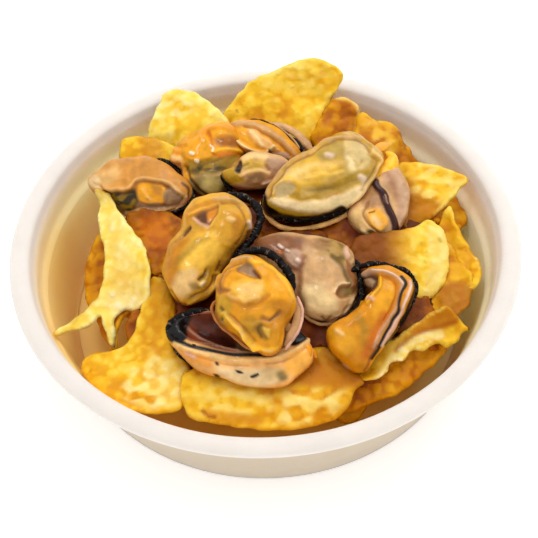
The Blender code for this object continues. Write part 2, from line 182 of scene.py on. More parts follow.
def lumps(points, size, seed, waves=9):
    # soft irregular lumps of about this size, from -1 to 1
    draw = np.random.default_rng(seed)
    total = np.zeros(len(points))
    for wave in range(waves):
        direction = draw.normal(size=points.shape[1])
        direction /= np.linalg.norm(direction)
        pace = math.tau / (size * draw.uniform(1.2, 2.6))
        total += np.sin(points @ direction * pace + draw.uniform(0, math.tau))
    return np.clip(total / math.sqrt(waves) / 1.3, -1, 1)


def smoothStep(value):
    value = np.clip(value, 0, 1)
    return value * value * (3 - 2 * value)


# colours and marks

tones = {
    "black": (9, 5, 5), "blackBrown": (38, 18, 10), "redBlack": (58, 20, 16), "darkBrown": (78, 38, 12),
    # the fold tone is the colour of painted shade in a fold
    "redBrown": (128, 58, 28), "foldShadow": (140, 66, 4), "brown": (150, 92, 42), "warmBrown": (182, 112, 48),
    "greyBrown": (160, 122, 84), "greyPink": (186, 146, 116), "pink": (226, 176, 148),
    "palePink": (246, 216, 196), "peach": (244, 182, 104), "palePeach": (246, 200, 126),
    "deepPeach": (210, 142, 56), "cream": (246, 214, 158), "paleCream": (250, 222, 158),
    "beige": (208, 162, 108), "deepBeige": (206, 160, 106), "shell": (206, 158, 104),
    "orange": (236, 146, 8), "deepOrange": (196, 96, 2), "paleOrange": (248, 176, 56),
    "amber": (236, 160, 14), "gold": (222, 148, 10), "brightGold": (250, 188, 40), "deepGold": (196, 122, 2),
    "mustard": (216, 156, 36), "yellow": (246, 194, 66), "oliveYellow": (196, 148, 28),
    "olive": (156, 118, 20), "darkOlive": (92, 70, 8), "deepOlive": (52, 38, 4),
    "paleOlive": (216, 188, 104), "greenGrey": (152, 122, 62), "plum": (104, 50, 34),
    "glint": (255, 240, 214), "wetGlint": (136, 118, 106),
}


def linear(tone):
    tone = np.array(tones[tone] if isinstance(tone, str) else tone, float) / 255
    return np.where(tone <= 0.04045, tone / 12.92, ((tone + 0.055) / 1.055) ** 2.4)


def rampColors(ramp, at):
    # the colour at each place along a row of tones, where the first is at 0 and the next at 1
    stops = np.array([linear(tone) for tone in ramp])
    return np.stack([np.interp(at, np.arange(len(stops)), stops[:, k]) for k in range(3)], 1)


# rise is in millimetres; soft, width and mottle, which breaks an area into blotches, are in pixels

def area(tone, points, rise=0, soft=5, amount=1, mottle=0):
    return {"tone": tone, "points": points, "rise": rise, "soft": soft, "amount": amount, "mottle": mottle}


def line(tone, width, points, rise=0, soft=2.4, amount=0.8):
    return {"tone": tone, "width": width, "points": points, "rise": rise, "soft": soft, "amount": amount}


def markShares(mark, pixels):
    # how much of the mark's colour and of its rise each point takes
    closed = "width" not in mark
    curve = smoothLine(mark["points"], closed, 5)
    if closed:
        away = lineDistance(np.concatenate((curve, curve[:1])), pixels)[0]
        away = np.where(insideLoop(curve, pixels), -away, away)
        color = smoothStep(0.5 - away / mark["soft"])
        if mark["mottle"]:
            color = color * smoothStep(lumps(pixels, mark["mottle"], len(mark["points"])) * 1.5 + 0.5)
        return color, smoothStep(0.5 - away / max(mark["soft"], 4))
    away = lineDistance(curve, pixels)[0]
    half = mark["width"] / 2
    return smoothStep((half - away) / mark["soft"] + 0.5), smoothStep(1 - away / (half + 2))


def paint(colors, marks, pixels, facing):
    for mark in marks.values():
        share = (markShares(mark, pixels)[0] * mark["amount"] * facing)[:, None]
        colors = colors * (1 - share) + linear(mark["tone"]) * share
    return colors


def markRise(marks, pixels):
    rise = np.zeros(len(pixels))
    for mark in marks.values():
        if mark["rise"]:
            rise += mark["rise"] * markShares(mark, pixels)[1]
    return rise


# meshes

def closedFaces(rings, sides):
    # four-sided faces between rings, and a fan to a pole at each end: the poles are the last two points
    faces = []
    for i in range(rings - 1):
        for k in range(sides):
            ahead = (k + 1) % sides
            faces.append((i * sides + k, (i + 1) * sides + k, (i + 1) * sides + ahead, i * sides + ahead))
    last, pole = (rings - 1) * sides, rings * sides
    faces += [(pole, k, (k + 1) % sides) for k in range(sides)]
    faces += [(last + k, pole + 1, last + (k + 1) % sides) for k in range(sides)]
    return faces


def spunRings(profile, segments):
    # the rings that a profile of radius and height sweeps round the upright axis
    turns = np.linspace(0, math.tau, segments, endpoint=False)
    rings = []
    for radius, height in profile:
        rings.append(np.stack((radius * np.cos(turns), radius * np.sin(turns), np.full(segments, height)), 1))
    return np.concatenate(rings)


def gridNormals(grid):
    # for rings of points: the outward direction at each
    along = np.gradient(grid, axis=0)
    around = np.roll(grid, -1, 1) - np.roll(grid, 1, 1)
    normals = np.cross(along, around)
    return normals / np.maximum(np.linalg.norm(normals, axis=2, keepdims=True), 1e-12)


def addPiece(name, parts, materials, node):
    # one object from parts, each with its own points, faces, colours and material
    mesh = bpy.data.meshes.new(name)
    faces, looks, start = [], [], 0
    for part in parts:
        faces += [tuple(start + k for k in face) for face in part["faces"]]
        looks += [part.get("material", 0)] * len(part["faces"])
        start += len(part["points"])
    points = np.concatenate([part["points"] for part in parts]) * mm
    mesh.from_pydata(points.tolist(), [], faces)
    for material in materials:
        mesh.materials.append(material)
    mesh.polygons.foreach_set("material_index", looks)
    colors = np.ones((len(points), 4), np.float32)
    colors[:, :3] = np.concatenate([part["colors"] for part in parts])
    mesh.color_attributes.new("paint", "FLOAT_COLOR", "POINT").data.foreach_set("color", colors.ravel())
    mesh.shade_smooth()
    mesh.update()
    obj = bpy.data.objects.new(name, mesh)
    bpy.context.scene.collection.objects.link(obj)
    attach(obj, "root")
    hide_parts(node)
    return obj


# materials

def nodeMaterial(name, look):
    material = bpy.data.materials.new(name)
    material.use_nodes = True
    nodes = material.node_tree.nodes
    shader = nodes["Principled BSDF"]
    shader.inputs["Roughness"].default_value = look["roughness"]
    shader.inputs["Specular IOR Level"].default_value = look["specular"]
    shader.inputs["Coat Weight"].default_value = look["coat"]
    shader.inputs["Coat Roughness"].default_value = look["coatRoughness"]
    shader.inputs["Subsurface Weight"].default_value = look["scatter"]
    shader.inputs["Subsurface Radius"].default_value = look["scatterRadius"]
    shader.inputs["Subsurface Scale"].default_value = mm
    return material, nodes, material.node_tree.links, shader


def noiseNode(nodes, links, place, size, detail, roughness=0.5):
    # size is the distance in millimetres from lump to lump
    noise = nodes.new("ShaderNodeTexNoise")
    noise.inputs["Scale"].default_value = 1 / (size * mm)
    noise.inputs["Detail"].default_value = detail
    noise.inputs["Roughness"].default_value = roughness
    links.new(place.outputs["Object"], noise.inputs["Vector"])
    return noise


def paintedNode(nodes):
    painted = nodes.new("ShaderNodeAttribute")
    painted.attribute_name = "paint"
    return painted


def rangeNode(nodes, start, end, low, high):
    span = nodes.new("ShaderNodeMapRange")
    for socket, value in (("From Min", start), ("From Max", end), ("To Min", low), ("To Max", high)):
        span.inputs[socket].default_value = value
    return span


def paintedColor(nodes, links, shader, noise, low, high):
    # the mesh's own colours, made a little darker and lighter by a noise
    shade = rangeNode(nodes, 0.3, 0.7, low, high)
    links.new(noise.outputs["Fac"], shade.inputs["Value"])
    product = nodes.new("ShaderNodeVectorMath")
    product.operation = "SCALE"
    links.new(paintedNode(nodes).outputs["Color"], product.inputs["Vector"])
    links.new(shade.outputs["Result"], product.inputs["Scale"])
    links.new(product.outputs["Vector"], shader.inputs["Base Color"])


def addBump(nodes, links, shader, layers):
    # layers: a height, its depth in millimetres
    before = None
    for height, depth in layers:
        bump = nodes.new("ShaderNodeBump")
        bump.inputs["Distance"].default_value = depth * mm
        links.new(height, bump.inputs["Height"])
        if before:
            links.new(before.outputs["Normal"], bump.inputs["Normal"])
        before = bump
    links.new(before.outputs["Normal"], shader.inputs["Normal"])


def softMaterial(name, look):
    # a painted surface with blotches and soft bumps
    material, nodes, links, shader = nodeMaterial(name, look)
    place = nodes.new("ShaderNodeTexCoord")
    paintedColor(nodes, links, shader, noiseNode(nodes, links, place, *look["blotches"]), *look["shades"])
    layers = []
    for size, detail, roughness, depth in look["bumps"]:
        layers.append((noiseNode(nodes, links, place, size, detail, roughness).outputs["Fac"], depth))
    addBump(nodes, links, shader, layers)
    return material


# blotches: size in millimetres, detail; bumps: size, detail, roughness, depth in millimetres
meatLook = {
    "roughness": 0.36, "specular": 0.16, "coat": 0.24, "coatRoughness": 0.07,
    "scatter": 0.1, "scatterRadius": (1.0, 0.6, 0.35),
    "blotches": (3.2, 4), "shades": (0.8, 1.1), "bumps": [(2.6, 2, 0.5, 0.42), (0.9, 3, 0.5, 0.07)],
}


frillLook = {
    "roughness": 0.26, "specular": 0.1, "coat": 0, "coatRoughness": 0.1,
    "scatter": 0, "scatterRadius": (1, 0.4, 0.2),
    "blotches": (1.5, 4), "shades": (0.6, 1.4), "bumps": [(1.5, 4, 0.6, 0.6)],
}


crispLook = {
    "roughness": 0.45, "specular": 0.14, "coat": 0, "coatRoughness": 0.3,
    "scatter": 0, "scatterRadius": (1, 0.7, 0.2),
    "cellSize": 3.0, "cellEdges": (0.12, 0.62), "cellBend": 2.4,
    "valleyTint": (0.93, 0.86, 0.52), "cellDepth": 0.26, "pores": (0.8, 4, 0.6), "poreDepth": 0.07,
}


def crispMaterial():
    # pale blisters with deeper colour in the valleys between
    material, nodes, links, shader = nodeMaterial("crisp", crispLook)
    place = nodes.new("ShaderNodeTexCoord")
    moved = nodes.new("ShaderNodeVectorMath")
    moved.operation = "MULTIPLY_ADD"
    bend = noiseNode(nodes, links, place, crispLook["cellSize"], 2)
    links.new(bend.outputs["Color"], moved.inputs[0])
    moved.inputs[1].default_value = [crispLook["cellBend"] * mm] * 3
    links.new(place.outputs["Object"], moved.inputs[2])
    cells = nodes.new("ShaderNodeTexVoronoi")
    cells.feature = "SMOOTH_F1"
    cells.inputs["Scale"].default_value = 1 / (crispLook["cellSize"] * mm)
    cells.inputs["Smoothness"].default_value = 1
    links.new(moved.outputs["Vector"], cells.inputs["Vector"])
    cell = rangeNode(nodes, *crispLook["cellEdges"], 1, 0)
    cell.interpolation_type = "SMOOTHSTEP"
    links.new(cells.outputs["Distance"], cell.inputs["Value"])
    painted = paintedNode(nodes)
    valley = nodes.new("ShaderNodeVectorMath")
    valley.operation = "MULTIPLY"
    valley.inputs[1].default_value = crispLook["valleyTint"]
    links.new(painted.outputs["Color"], valley.inputs[0])
    color = nodes.new("ShaderNodeMix")
    color.data_type = "RGBA"
    links.new(cell.outputs["Result"], color.inputs[0])
    links.new(valley.outputs["Vector"], color.inputs[6])
    links.new(painted.outputs["Color"], color.inputs[7])
    links.new(color.outputs[2], shader.inputs["Base Color"])
    pores = noiseNode(nodes, links, place, *crispLook["pores"]).outputs["Fac"]
    layers = [(cell.outputs["Result"], crispLook["cellDepth"]), (pores, crispLook["poreDepth"])]
    addBump(nodes, links, shader, layers)
    return material


fibreLook = {
    "roughness": 0.62, "specular": 0.3, "coat": 0, "coatRoughness": 0.3,
    "scatter": 0.7, "scatterRadius": (4.0, 3.5, 2.8),
    "blotches": (9, 4), "shades": (0.975, 1.02), "bumps": [(4, 3, 0.5, 0.12), (0.9, 5, 0.65, 0.08)],
}


# the bowl

bowl = {
    "rimRadius": 80.0,
    "height": 36.0,
    "footRadius": 65.8,
    "floor": 2.0,
    "wall": 1.6,
    "lipWidth": 4.4,
    "lipInside": 6.4,  # how far the lip's rounded top reaches in over the wall
    "lipDepth": 3.4,
    "lipSteps": 12,
    "stepHeight": 24.0,
    "stepRadius": 71.6,
    "stepWidth": 1.5,
    "segments": 288,
    "outOfRound": 0.0015,
    "fiber": (224, 218, 212),
    # the outside's colour is the fibre darkened as painted shade
    "outside": (200, 184, 162),
    "wallTint": (255, 235, 202),
    # the warm colours are the food's oil stain together with painted shade
    "stainAndShade": (255, 208, 136),
    "deepStainAndShade": (255, 202, 108),
    "stainAndShadeSide": 235,  # degrees round the bowl where its wall is most stained and has the most painted shade
    "leastStainAndShade": 0.2,
    "cleanTop": 2.2,  # how far down from the rim the wall stays clean
    "stainAndShadeFade": 5,
    "highStainAndShade": 0.55,  # the share of stain and painted shade on the high wall, where the low wall has 1
    "lowWall": (30, 14),  # the height where it starts to grow, and over how much
    "stainAndShadeLumps": (0.06, 24),  # strength, size
    "outsideTop": 33,
}


def bowlProfile():
    # from the middle of the floor up the inside, over the lip and down to the middle of the base
    rim, high, wall = bowl["rimRadius"], bowl["height"], bowl["wall"]
    lip, inner, deep = bowl["lipWidth"], bowl["lipInside"], bowl["lipDepth"]
    step, stepWide, stepHigh = bowl["stepRadius"], bowl["stepWidth"], bowl["stepHeight"]
    foot, floor = bowl["footRadius"], bowl["floor"]
    inside = [
        (0, floor), (30, floor), (foot - wall - 4, floor), (foot - wall - 1.2, floor + 0.8),
        (foot - wall + 0.2, floor + 3), (foot - wall + 2.6, 12), (step - wall - 0.5, stepHigh - 2.2),
        (step - wall + 0.1, stepHigh - 0.6), (step - wall + stepWide - 0.4, stepHigh + 0.9),
        (step - wall + stepWide + 0.2, stepHigh + 2.6), (rim - inner - 1.2, high - deep - 1.6),
        (rim - inner - 0.4, high - deep + 0.4),
    ]
    middle = (rim - inner / 2, high - deep / 2)
    over = []
    for k in range(bowl["lipSteps"] + 1):
        angle = math.pi * (0.93 - 1.06 * k / bowl["lipSteps"])
        over.append((middle[0] + inner / 2 * math.cos(angle), middle[1] + deep / 2 * math.sin(angle)))
    under = [
        (rim - 1.2, high - deep - 0.1), (rim - lip + 1.0, high - deep - 0.3),
        (rim - lip + 0.1, high - deep - 1.2), (step + stepWide + 0.2, stepHigh + 1.0),
        (step + stepWide - 0.4, stepHigh + 0.1), (step + 0.1, stepHigh - 0.8), (step - 0.6, stepHigh - 2.4),
        (foot + 2.6, 10), (foot + 0.3, 2), (foot - 0.1, 0.9), (foot - 1.2, 0.1), (foot - 3, 0), (30, 0),
        (0, 0),
    ]
    return inside, over, under


def wallColors(points, inside):
    # off-white, warmed by the food's oil and by painted shade: more on the low wall, on the left and at the
    # front
    angle = np.arctan2(points[:, 1], points[:, 0])
    height = points[:, 2]
    side = 0.5 + 0.5 * np.cos(angle - math.radians(bowl["stainAndShadeSide"]))
    down = smoothStep((bowl["height"] - bowl["cleanTop"] - height) / bowl["stainAndShadeFade"])
    high, (lowTop, lowDepth) = bowl["highStainAndShade"], bowl["lowWall"]
    down *= high + (1 - high) * smoothStep((lowTop - height) / lowDepth)
    least, (strength, size) = bowl["leastStainAndShade"], bowl["stainAndShadeLumps"]
    share = inside * down * np.clip(least + (1 - least) * side + strength * lumps(points, size, 3), 0, 1)
    ramp = [bowl[name] for name in ("fiber", "wallTint", "stainAndShade", "deepStainAndShade")]
    colors = rampColors(ramp, share * 3)
    # below its top, the outside takes this painted shade
    outer = ((1 - inside) * smoothStep((bowl["outsideTop"] - height) / 3))[:, None]
    return colors * (1 - outer) + linear(bowl["outside"]) * outer


def makeBowl(material):
    inside, over, under = bowlProfile()
    inner = smoothLine(inside, False, 4)
    profile = np.concatenate((inner, over, smoothLine(under, False, 4)))
    profile[:, 1] = np.clip(profile[:, 1], 0, bowl["height"])
    profile[:, 0] = np.clip(profile[:, 0], 0.05, bowl["rimRadius"])
    sides = bowl["segments"]
    points = spunRings(profile, sides)
    # the pressed fibre is never quite round
    away = np.hypot(points[:, 0], points[:, 1])
    points[:, :2] *= (1 - bowl["outOfRound"] * (1 + lumps(points, 40, 8)) * (away > 20))[:, None]
    points = np.concatenate((points, [(0, 0, bowl["floor"]), (0, 0, 0)]))
    innerShare = np.repeat(np.arange(len(profile)) < len(inner) + 2, sides)
    innerShare = np.concatenate((innerShare, (True, False))).astype(float)
    colors = wallColors(points, innerShare)
    part = {"points": points, "faces": closedFaces(len(profile), sides), "colors": colors}
    addPiece("bowl_wall", [part], [material], "bowl")
    print("bowl:", len(points), "points")


# the crisps

crispStyle = {
    "thickness": 1.3,
    "spacing": 0.75,
    "rim": 0.6,
    "ragged": (0.3, 2.4),  # how far the edge wanders, and from bump to bump
    "waves": [(0.7, 9, 0), (0.25, 4, 50)],  # height, size, and what is added to the seed
    "blisterEvery": 7.0,  # square millimetres of crisp for each blister
    "blisterSize": (1.0, 2.6),
    "blisterHeight": 0.3,
    "blisterBack": 0.15,  # how far a blister dents the other side
    "blisterInset": 1.5,  # blisters are full this far from the edge
    "ramp": [(255, 240, 160), (252, 222, 104), (244, 196, 44), (226, 160, 8), (190, 112, 0), (150, 76, 0),
             (96, 42, 0)],
    "toneLumps": [(0.16, 14, 7), (0.08, 3, 8)],  # strength, size, and what is added to the seed
    "blisterPale": 0.2,
    "rimPale": (0.2, 0.9),  # strength, width
    "edgePale": (0.14, 3),
    "speck": (150, 78, 8),
    "speckSize": 1.8,
    "speckShare": 0.3,
    "wallGap": 0.5,
    "stackGap": 0.6,
    "stackReach": 9,  # how far above a shown crisp a hidden one is pressed down under it
    "shadeTint": (0.28, 0.12, 0.08),  # painted shade: what a crisp's colour is multiplied by where the mussels shade it fully
    "shadeShown": (5, 0.5),  # how far from the mussels, and how much
    "shadeHidden": (12, 1),
}

shownCrisps = {
    "left": {
        "at": (-45, -5, 33), "lean": (-0.45, 0.35), "bend": (0.02, -0.002, 0.006), "tone": 0.2,
        "outline": [(-10, 28), (-6, 26), (-2, 19), (3, 12), (8, 4), (11, -3), (11, -10), (9, -15),
            (5, -16.5), (-1, -16), (-3, -19), (-3, -24), (-4, -27), (-6, -22), (-7, -17), (-10, -20),
            (-15, -22), (-19, -23.5), (-19, -22), (-15, -18), (-11, -14), (-8, -10), (-6.5, -4), (-6, 3),
            (-7, 9), (-9, 15), (-9, 21)],
        "marks": {
            # painted light where the crisp faces the light
            "litPatch": area("cream", [(104, 215), (124, 240), (146, 290), (140, 308), (110, 306), (112, 260)],
                soft=14, amount=0.35),
            "whiteLow": area((255, 240, 190), [(108, 292), (128, 294), (146, 298), (142, 309), (120, 310),
                (104, 306)], soft=10, amount=0.6),
            "finStreak": line((206, 160, 30), 5, [(72, 322), (84, 310), (97, 298)], soft=4, amount=0.6),
        },
    },
    "left_behind": {
        "at": (-48, -11, 26), "lean": (-0.6, 0.3), "bend": (0, 0, 0), "tone": 0.95,
        "outline": [(-6, 22), (-9, 18), (-11, 12), (-12, 4), (-11, -1), (-8, -6), (-6, -11), (-4, -15),
            (-1, -19), (1, -19), (2, -13), (5, -9), (12, -6), (13, 7), (4, 18)],
    },
    "front_left": {
        "at": (-39.5, -41, 28), "lean": (-0.05, 0.1), "bend": (-0.008, 0.004, 0), "tone": 0.62,
        "outline": [(5, 29), (9, 27.5), (12, 20), (10, 11), (11, 5), (15.5, -1), (17, -6), (15, -13),
            (9.5, -17), (1, -17), (-8, -12.5), (-15, -6), (-17.5, 1), (-16, 5.5), (-8, 6), (-2, 9),
            (0.5, 17), (2, 25)],
        "marks": {
            "paleBubbles": area((255, 234, 156), [(132, 372), (152, 352), (176, 360), (192, 382), (184, 402),
                (150, 408), (122, 394)], soft=10, amount=0.85, mottle=8),
            "amberTop": area((212, 138, 6), [(150, 282), (170, 278), (184, 300), (180, 328), (160, 330),
                (150, 310)], soft=14, amount=0.65),
            "bareRight": area((255, 226, 136), [(150, 366), (172, 362), (190, 382), (182, 400), (158, 402)],
                soft=12, amount=0.4),
        },
    },
    "front": {
        "at": (3.5, -54.5, 29), "lean": (0, 0.3), "bend": (-0.001, -0.01, 0), "tone": 0.68,
        "outline": [(-28, 8.6), (-9, 14), (5, 14), (14, 13), (23, 3), (21, 0), (17.5, -6), (11, -9.5),
            (1, -11), (-10, -10), (-19, -8.5), (-27, -6), (-30, 0.6)],
        "marks": {
            "paleLeft": area((252, 222, 122), [(196, 388), (222, 384), (262, 392), (276, 406), (250, 420),
                (214, 412)], soft=12, amount=0.8, mottle=9),
            "paleRight": area((250, 224, 132), [(280, 394), (312, 388), (346, 390), (348, 402), (326, 416),
                (296, 425), (272, 420)], soft=12, amount=0.85, mottle=11),
            "amberTop": area((198, 124, 10), [(276, 372), (330, 358), (372, 368), (362, 390), (346, 388),
                (310, 386), (282, 384)], soft=10, amount=0.9),
            "amberLow": area((216, 142, 16), [(200, 410), (230, 412), (262, 418), (256, 426), (214, 420)],
                soft=6, amount=0.7),
            "redCurl": line((150, 62, 10), 4, [(203, 411), (209, 416), (215, 417)], rise=0.4, soft=3,
                amount=0.7),
        },
    },
    "front_right_fold": {
        "at": (43.5, -39, 29), "lean": (0, 0.5), "bend": (0, 0.05, 0), "tone": 0.62,
        "outline": [(-16, -12), (-21, -7), (-22, 1), (-15, 2), (-8, 1), (0, 5.5), (8.5, 9.5), (13, 6),
            (16, 3), (13.5, 1.2), (11.5, -1.4), (8.5, -2.2), (6, -1), (2.5, -3), (-1.5, -2.6), (-4, -5.6),
            (-8, -6.5), (-10, -9.5)],
        "marks": {
            "backBrown": area((196, 118, 14), [(424, 312), (446, 304), (460, 318), (444, 330), (424, 336),
                (408, 330)], soft=6, amount=0.8),
            "frontRidge": line((255, 232, 160), 9, [(376, 384), (388, 366), (404, 346), (424, 336),
                (440, 334)], rise=0.8, soft=5, amount=0.85),
            "foldLine": line((250, 206, 90), 3, [(386, 352), (404, 334), (424, 318), (444, 308)], rise=0.8,
                soft=2),
            "foldShade": line((176, 96, 4), 5, [(396, 350), (412, 336), (432, 328), (456, 322)], rise=-0.6,
                soft=4),
            "bumps": area((255, 238, 180), [(384, 366), (402, 346), (430, 332), (442, 336), (420, 348),
                (396, 368)], soft=4, amount=0.8, mottle=4),
        },
    },
    "right_pale": {
        "at": (49, -10.5, 34), "lean": (0.3, 0.3), "bend": (-0.008, -0.01, 0), "tone": 0.42,
        "outline": [(-12, 9), (-2, 11), (5, 15), (9, 9), (9, 2), (7, -7), (1.5, -12.5), (-6, -14), (-13, -9),
            (-19, -6), (-23, 1), (-20, 7)],
        "marks": {
            "paleEdge": area((250, 222, 140), [(428, 226), (446, 234), (447, 262), (436, 290), (424, 300),
                (430, 260)], soft=8, amount=0.7),
            "freckleOne": line((150, 128, 40), 2.5, [(421, 243)], soft=2, amount=0.6),
            "freckleTwo": line((150, 128, 40), 3, [(439, 239), (441, 242)], soft=2, amount=0.6),
            "freckleThree": line((150, 128, 40), 2.5, [(427, 252)], soft=2, amount=0.6),
            "freckleFour": line((150, 128, 40), 3, [(425, 262)], soft=2, amount=0.5),
            # painted shadow of the mussel over the crisp's left part, softer towards the middle
            "musselShadowEdge": area((206, 134, 20), [(330, 230), (396, 218), (408, 250), (404, 296), (372, 300),
                (330, 260)], soft=30, amount=0.8),
            "musselShadow": area((132, 66, 6), [(330, 230), (384, 218), (394, 250), (398, 290), (372, 294),
                (330, 260)], soft=30, amount=0.95),
        },
    },
    "right_tip": {
        "at": (55, 17, 35), "lean": (0.15, 0.3), "bend": (0.008, -0.008, 0), "tone": 0.68,
        "outline": [(-11, 9), (-2.5, 11), (6, 8), (12, 4), (8, -1), (3, -6), (-2.5, -11), (-9, -14),
            (-13, -8), (-14, 1)],
        "marks": {
            "amberLow": area((196, 126, 14), [(396, 186), (424, 194), (444, 206), (428, 232), (404, 232),
                (392, 210)], soft=12, amount=0.9),
            "brightEdge": line((255, 222, 120), 4, [(420, 165), (445, 166), (467, 175), (456, 190),
                (436, 214)], rise=0.3, soft=3, amount=0.7),
            "paleTop": area((250, 220, 126), [(420, 168), (444, 170), (464, 177), (452, 192), (430, 202),
                (412, 190)], soft=12, amount=0.75, mottle=8),
            "burntOne": line("brown", 2, [(466, 172), (468, 176)], soft=1.5),
            "burntTwo": line("brown", 2, [(457, 167), (460, 168)], soft=1.5, amount=0.7),
        },
    },
    "back_tall": {
        "at": (9.5, 57.5, 41), "lean": (0, 0.7), "bend": (-0.006, 0.008, 0.004), "tone": 0.55,
        "outline": [(-22, -6), (-15.5, 3), (-10, 8), (-3, 10), (5.5, 13), (11.5, 13), (20, 8.5), (17, 1),
            (13, -6), (9, -16), (-6, -19), (-16, -14)],
        "marks": {
            "paleTop": area((255, 220, 110), [(262, 78), (300, 66), (336, 66), (330, 84), (296, 96),
                (268, 100)], soft=14, amount=0.5, mottle=7),
            "speck": line("brown", 2, [(236, 110), (237, 112)], soft=1.5),
        },
    },
    "back_left": {
        "at": (-23.5, 52, 39), "lean": (-0.15, 0.5), "bend": (-0.012, -0.01, 0), "tone": 0.32,
        "outline": [(-15, -3), (-12, 4.5), (-8, 11.5), (0, 11), (7, 6), (13, -1), (12, -9), (3, -17),
            (-7, -15), (-14, -9)],
        "marks": {
            "paleTop": area((255, 232, 160), [(158, 96), (184, 90), (196, 104), (180, 122), (156, 122)],
                soft=12, amount=0.6, mottle=6),
        },
    },
    "back_left_small": {
        "at": (-40.5, 42.5, 35), "lean": (-0.2, 0.3), "bend": (0, -0.01, 0), "tone": 0.5,
        "outline": [(-7, 1), (-6, 6), (0, 6), (7, 3), (14, -2), (16, -9), (8, -14), (-1, -10), (-6, -4)],
        "marks": {
            "brownRight": area((206, 128, 20), [(140, 136), (158, 134), (162, 156), (144, 158)], soft=8,
                amount=0.7),
        },
    },
    "back_right_small": {
        "at": (27.5, 50, 37), "lean": (0.1, 0.5), "bend": (-0.01, 0, 0), "tone": 0.92,
        "outline": [(-7.5, -1), (-2, 7.5), (4, 7.5), (7.5, 3), (6, -5.5), (1, -13), (-6, -13), (-10, -6)],
        "marks": {
            "paleEdge": line((255, 222, 130), 5, [(338, 97), (352, 100), (360, 112), (356, 134)], soft=4,
                amount=0.7),
        },
    },
    "back_right": {
        "at": (42.5, 38, 36), "lean": (0.2, 0.4), "bend": (-0.01, -0.01, 0), "tone": 0.98,
        "outline": [(-8, 12.5), (-3, 10), (3.5, 7), (6, 2), (9, -2.5), (10.5, -7), (3, -13), (-6, -10),
            (-11, 0)],
        "marks": {
            "paleMiddle": area((250, 206, 90), [(366, 120), (384, 124), (398, 140), (392, 156), (374, 146)],
                soft=10, amount=0.6, mottle=7),
            "burntTop": line("brown", 2.5, [(369, 114), (373, 117), (378, 121)], soft=2, amount=0.7),
            "burntEdge": line("brown", 3, [(399, 132), (404, 140), (405, 149)], soft=2),
        },
    },
    "right_wall_outer": {
        "at": (62, -3, 30), "lean": (-0.4, 0.2), "bend": (0, 0.006, 0), "tone": 0.75,
        "outline": [(-2, 15), (-0.5, 7.5), (2, -0.5), (5, -9), (2.5, -17), (-4, -13), (-8, -2), (-7, 9)],
        "marks": {
            "edge": line((255, 214, 110), 3, [(450, 207), (466, 236), (481, 268)], soft=2, amount=0.7),
        },
    },
    "right_wall_inner": {
        "at": (58.5, -13, 29.5), "lean": (-0.2, 0.2), "bend": (0, 0.006, 0), "tone": 0.8,
        "outline": [(-2, 11), (2, 4), (5, -2), (3.5, -11), (-2, -16), (-9, -12), (-10, 3)],
        "marks": {
            "edge": line((250, 206, 110), 3, [(449, 242), (461, 257), (470, 270)], soft=2, amount=0.7),
            "lowBrown": area((170, 92, 8), [(440, 286), (470, 284), (478, 310), (458, 328), (440, 312)],
                soft=8, amount=0.8),
        },
    },
    "left_under": {
        "at": (-33, 3, 34), "lean": (-0.1, 0.2), "bend": (-0.01, 0, 0), "tone": 1.05,
        "outline": [(-10.5, 11), (0, 11), (8, 6), (8, -2), (4, -8), (1, -12), (-5, -12), (-10, 0)],
        "marks": {
            "darkEdge": line((120, 54, 4), 2.5, [(150, 249), (157, 250), (166, 250)], soft=2),
            "warm": area((220, 120, 10), [(140, 218), (166, 214), (170, 246), (150, 250)], soft=8,
                amount=0.5),
        },
    },
    "front_right_under": {
        "at": (30.5, -53, 22), "lean": (0.1, 0.3), "bend": (0, 0, 0), "tone": 0.86,
        "outline": [(-10, -4), (-8, 6), (3, 12), (14, 16), (23, 16), (20, 11), (15, 7), (7, 1), (1, -1)],
    },
}


def crispGrid(outline, spacing):
    # a flat crisp as triangles: its points, its faces, and how far each point is from the edge
    rough = smoothLine(outline, True, 12)
    length = np.linalg.norm(np.roll(rough, -1, 0) - rough, axis=1).sum()
    loop = evenOutline(outline, int(length / spacing))
    reach, size = crispStyle["ragged"]
    loop += reach * np.stack((lumps(loop, size, 41), lumps(loop, size, 42)), 1)
    rim = np.concatenate((loop, loop[:1]))
    low, high = loop.min(0), loop.max(0)
    rows = []
    for j, y in enumerate(np.arange(low[1], high[1], spacing * 0.866)):
        x = np.arange(low[0] + (j % 2) * spacing / 2, high[0], spacing)
        rows.append(np.stack((x, np.full(len(x), y)), 1))
    grid = np.concatenate(rows)
    away = lineDistance(rim, grid)[0]
    grid = grid[insideLoop(loop, grid) & (away > spacing * 0.55)]
    flat = [Vector(point) for point in np.concatenate((loop, grid))]
    made = geometry.delaunay_2d_cdt(flat, [], [list(range(len(loop)))], 1, 1e-5)
    points = np.array([tuple(point) for point in made[0]])
    faces = np.array(made[2])
    a, b, c = points[faces[:, 0]], points[faces[:, 1]], points[faces[:, 2]]
    turned = np.cross(b - a, c - a) < 0
    faces[turned] = faces[turned][:, ::-1]
    return points, faces, lineDistance(rim, points)[0]


def blisters(points, seed):
    # bubbles in the crisp's skin: a height from 0 to about 1
    draw = random.Random(seed)
    low, high = points.min(0), points.max(0)
    count = int((high[0] - low[0]) * (high[1] - low[1]) / crispStyle["blisterEvery"])
    largest = crispStyle["blisterSize"][1]
    height = np.zeros(len(points))
    for k in range(count):
        spot = np.array((draw.uniform(low[0], high[0]), draw.uniform(low[1], high[1])))
        size = draw.uniform(*crispStyle["blisterSize"])
        stretch = draw.uniform(0.7, 1.3)
        away = np.hypot((points[:, 0] - spot[0]) * stretch, (points[:, 1] - spot[1]) / stretch) / size
        height = np.maximum(height, np.clip(1 - away ** 2.5, 0, 1) * (0.35 + 0.65 * size / largest))
    return height


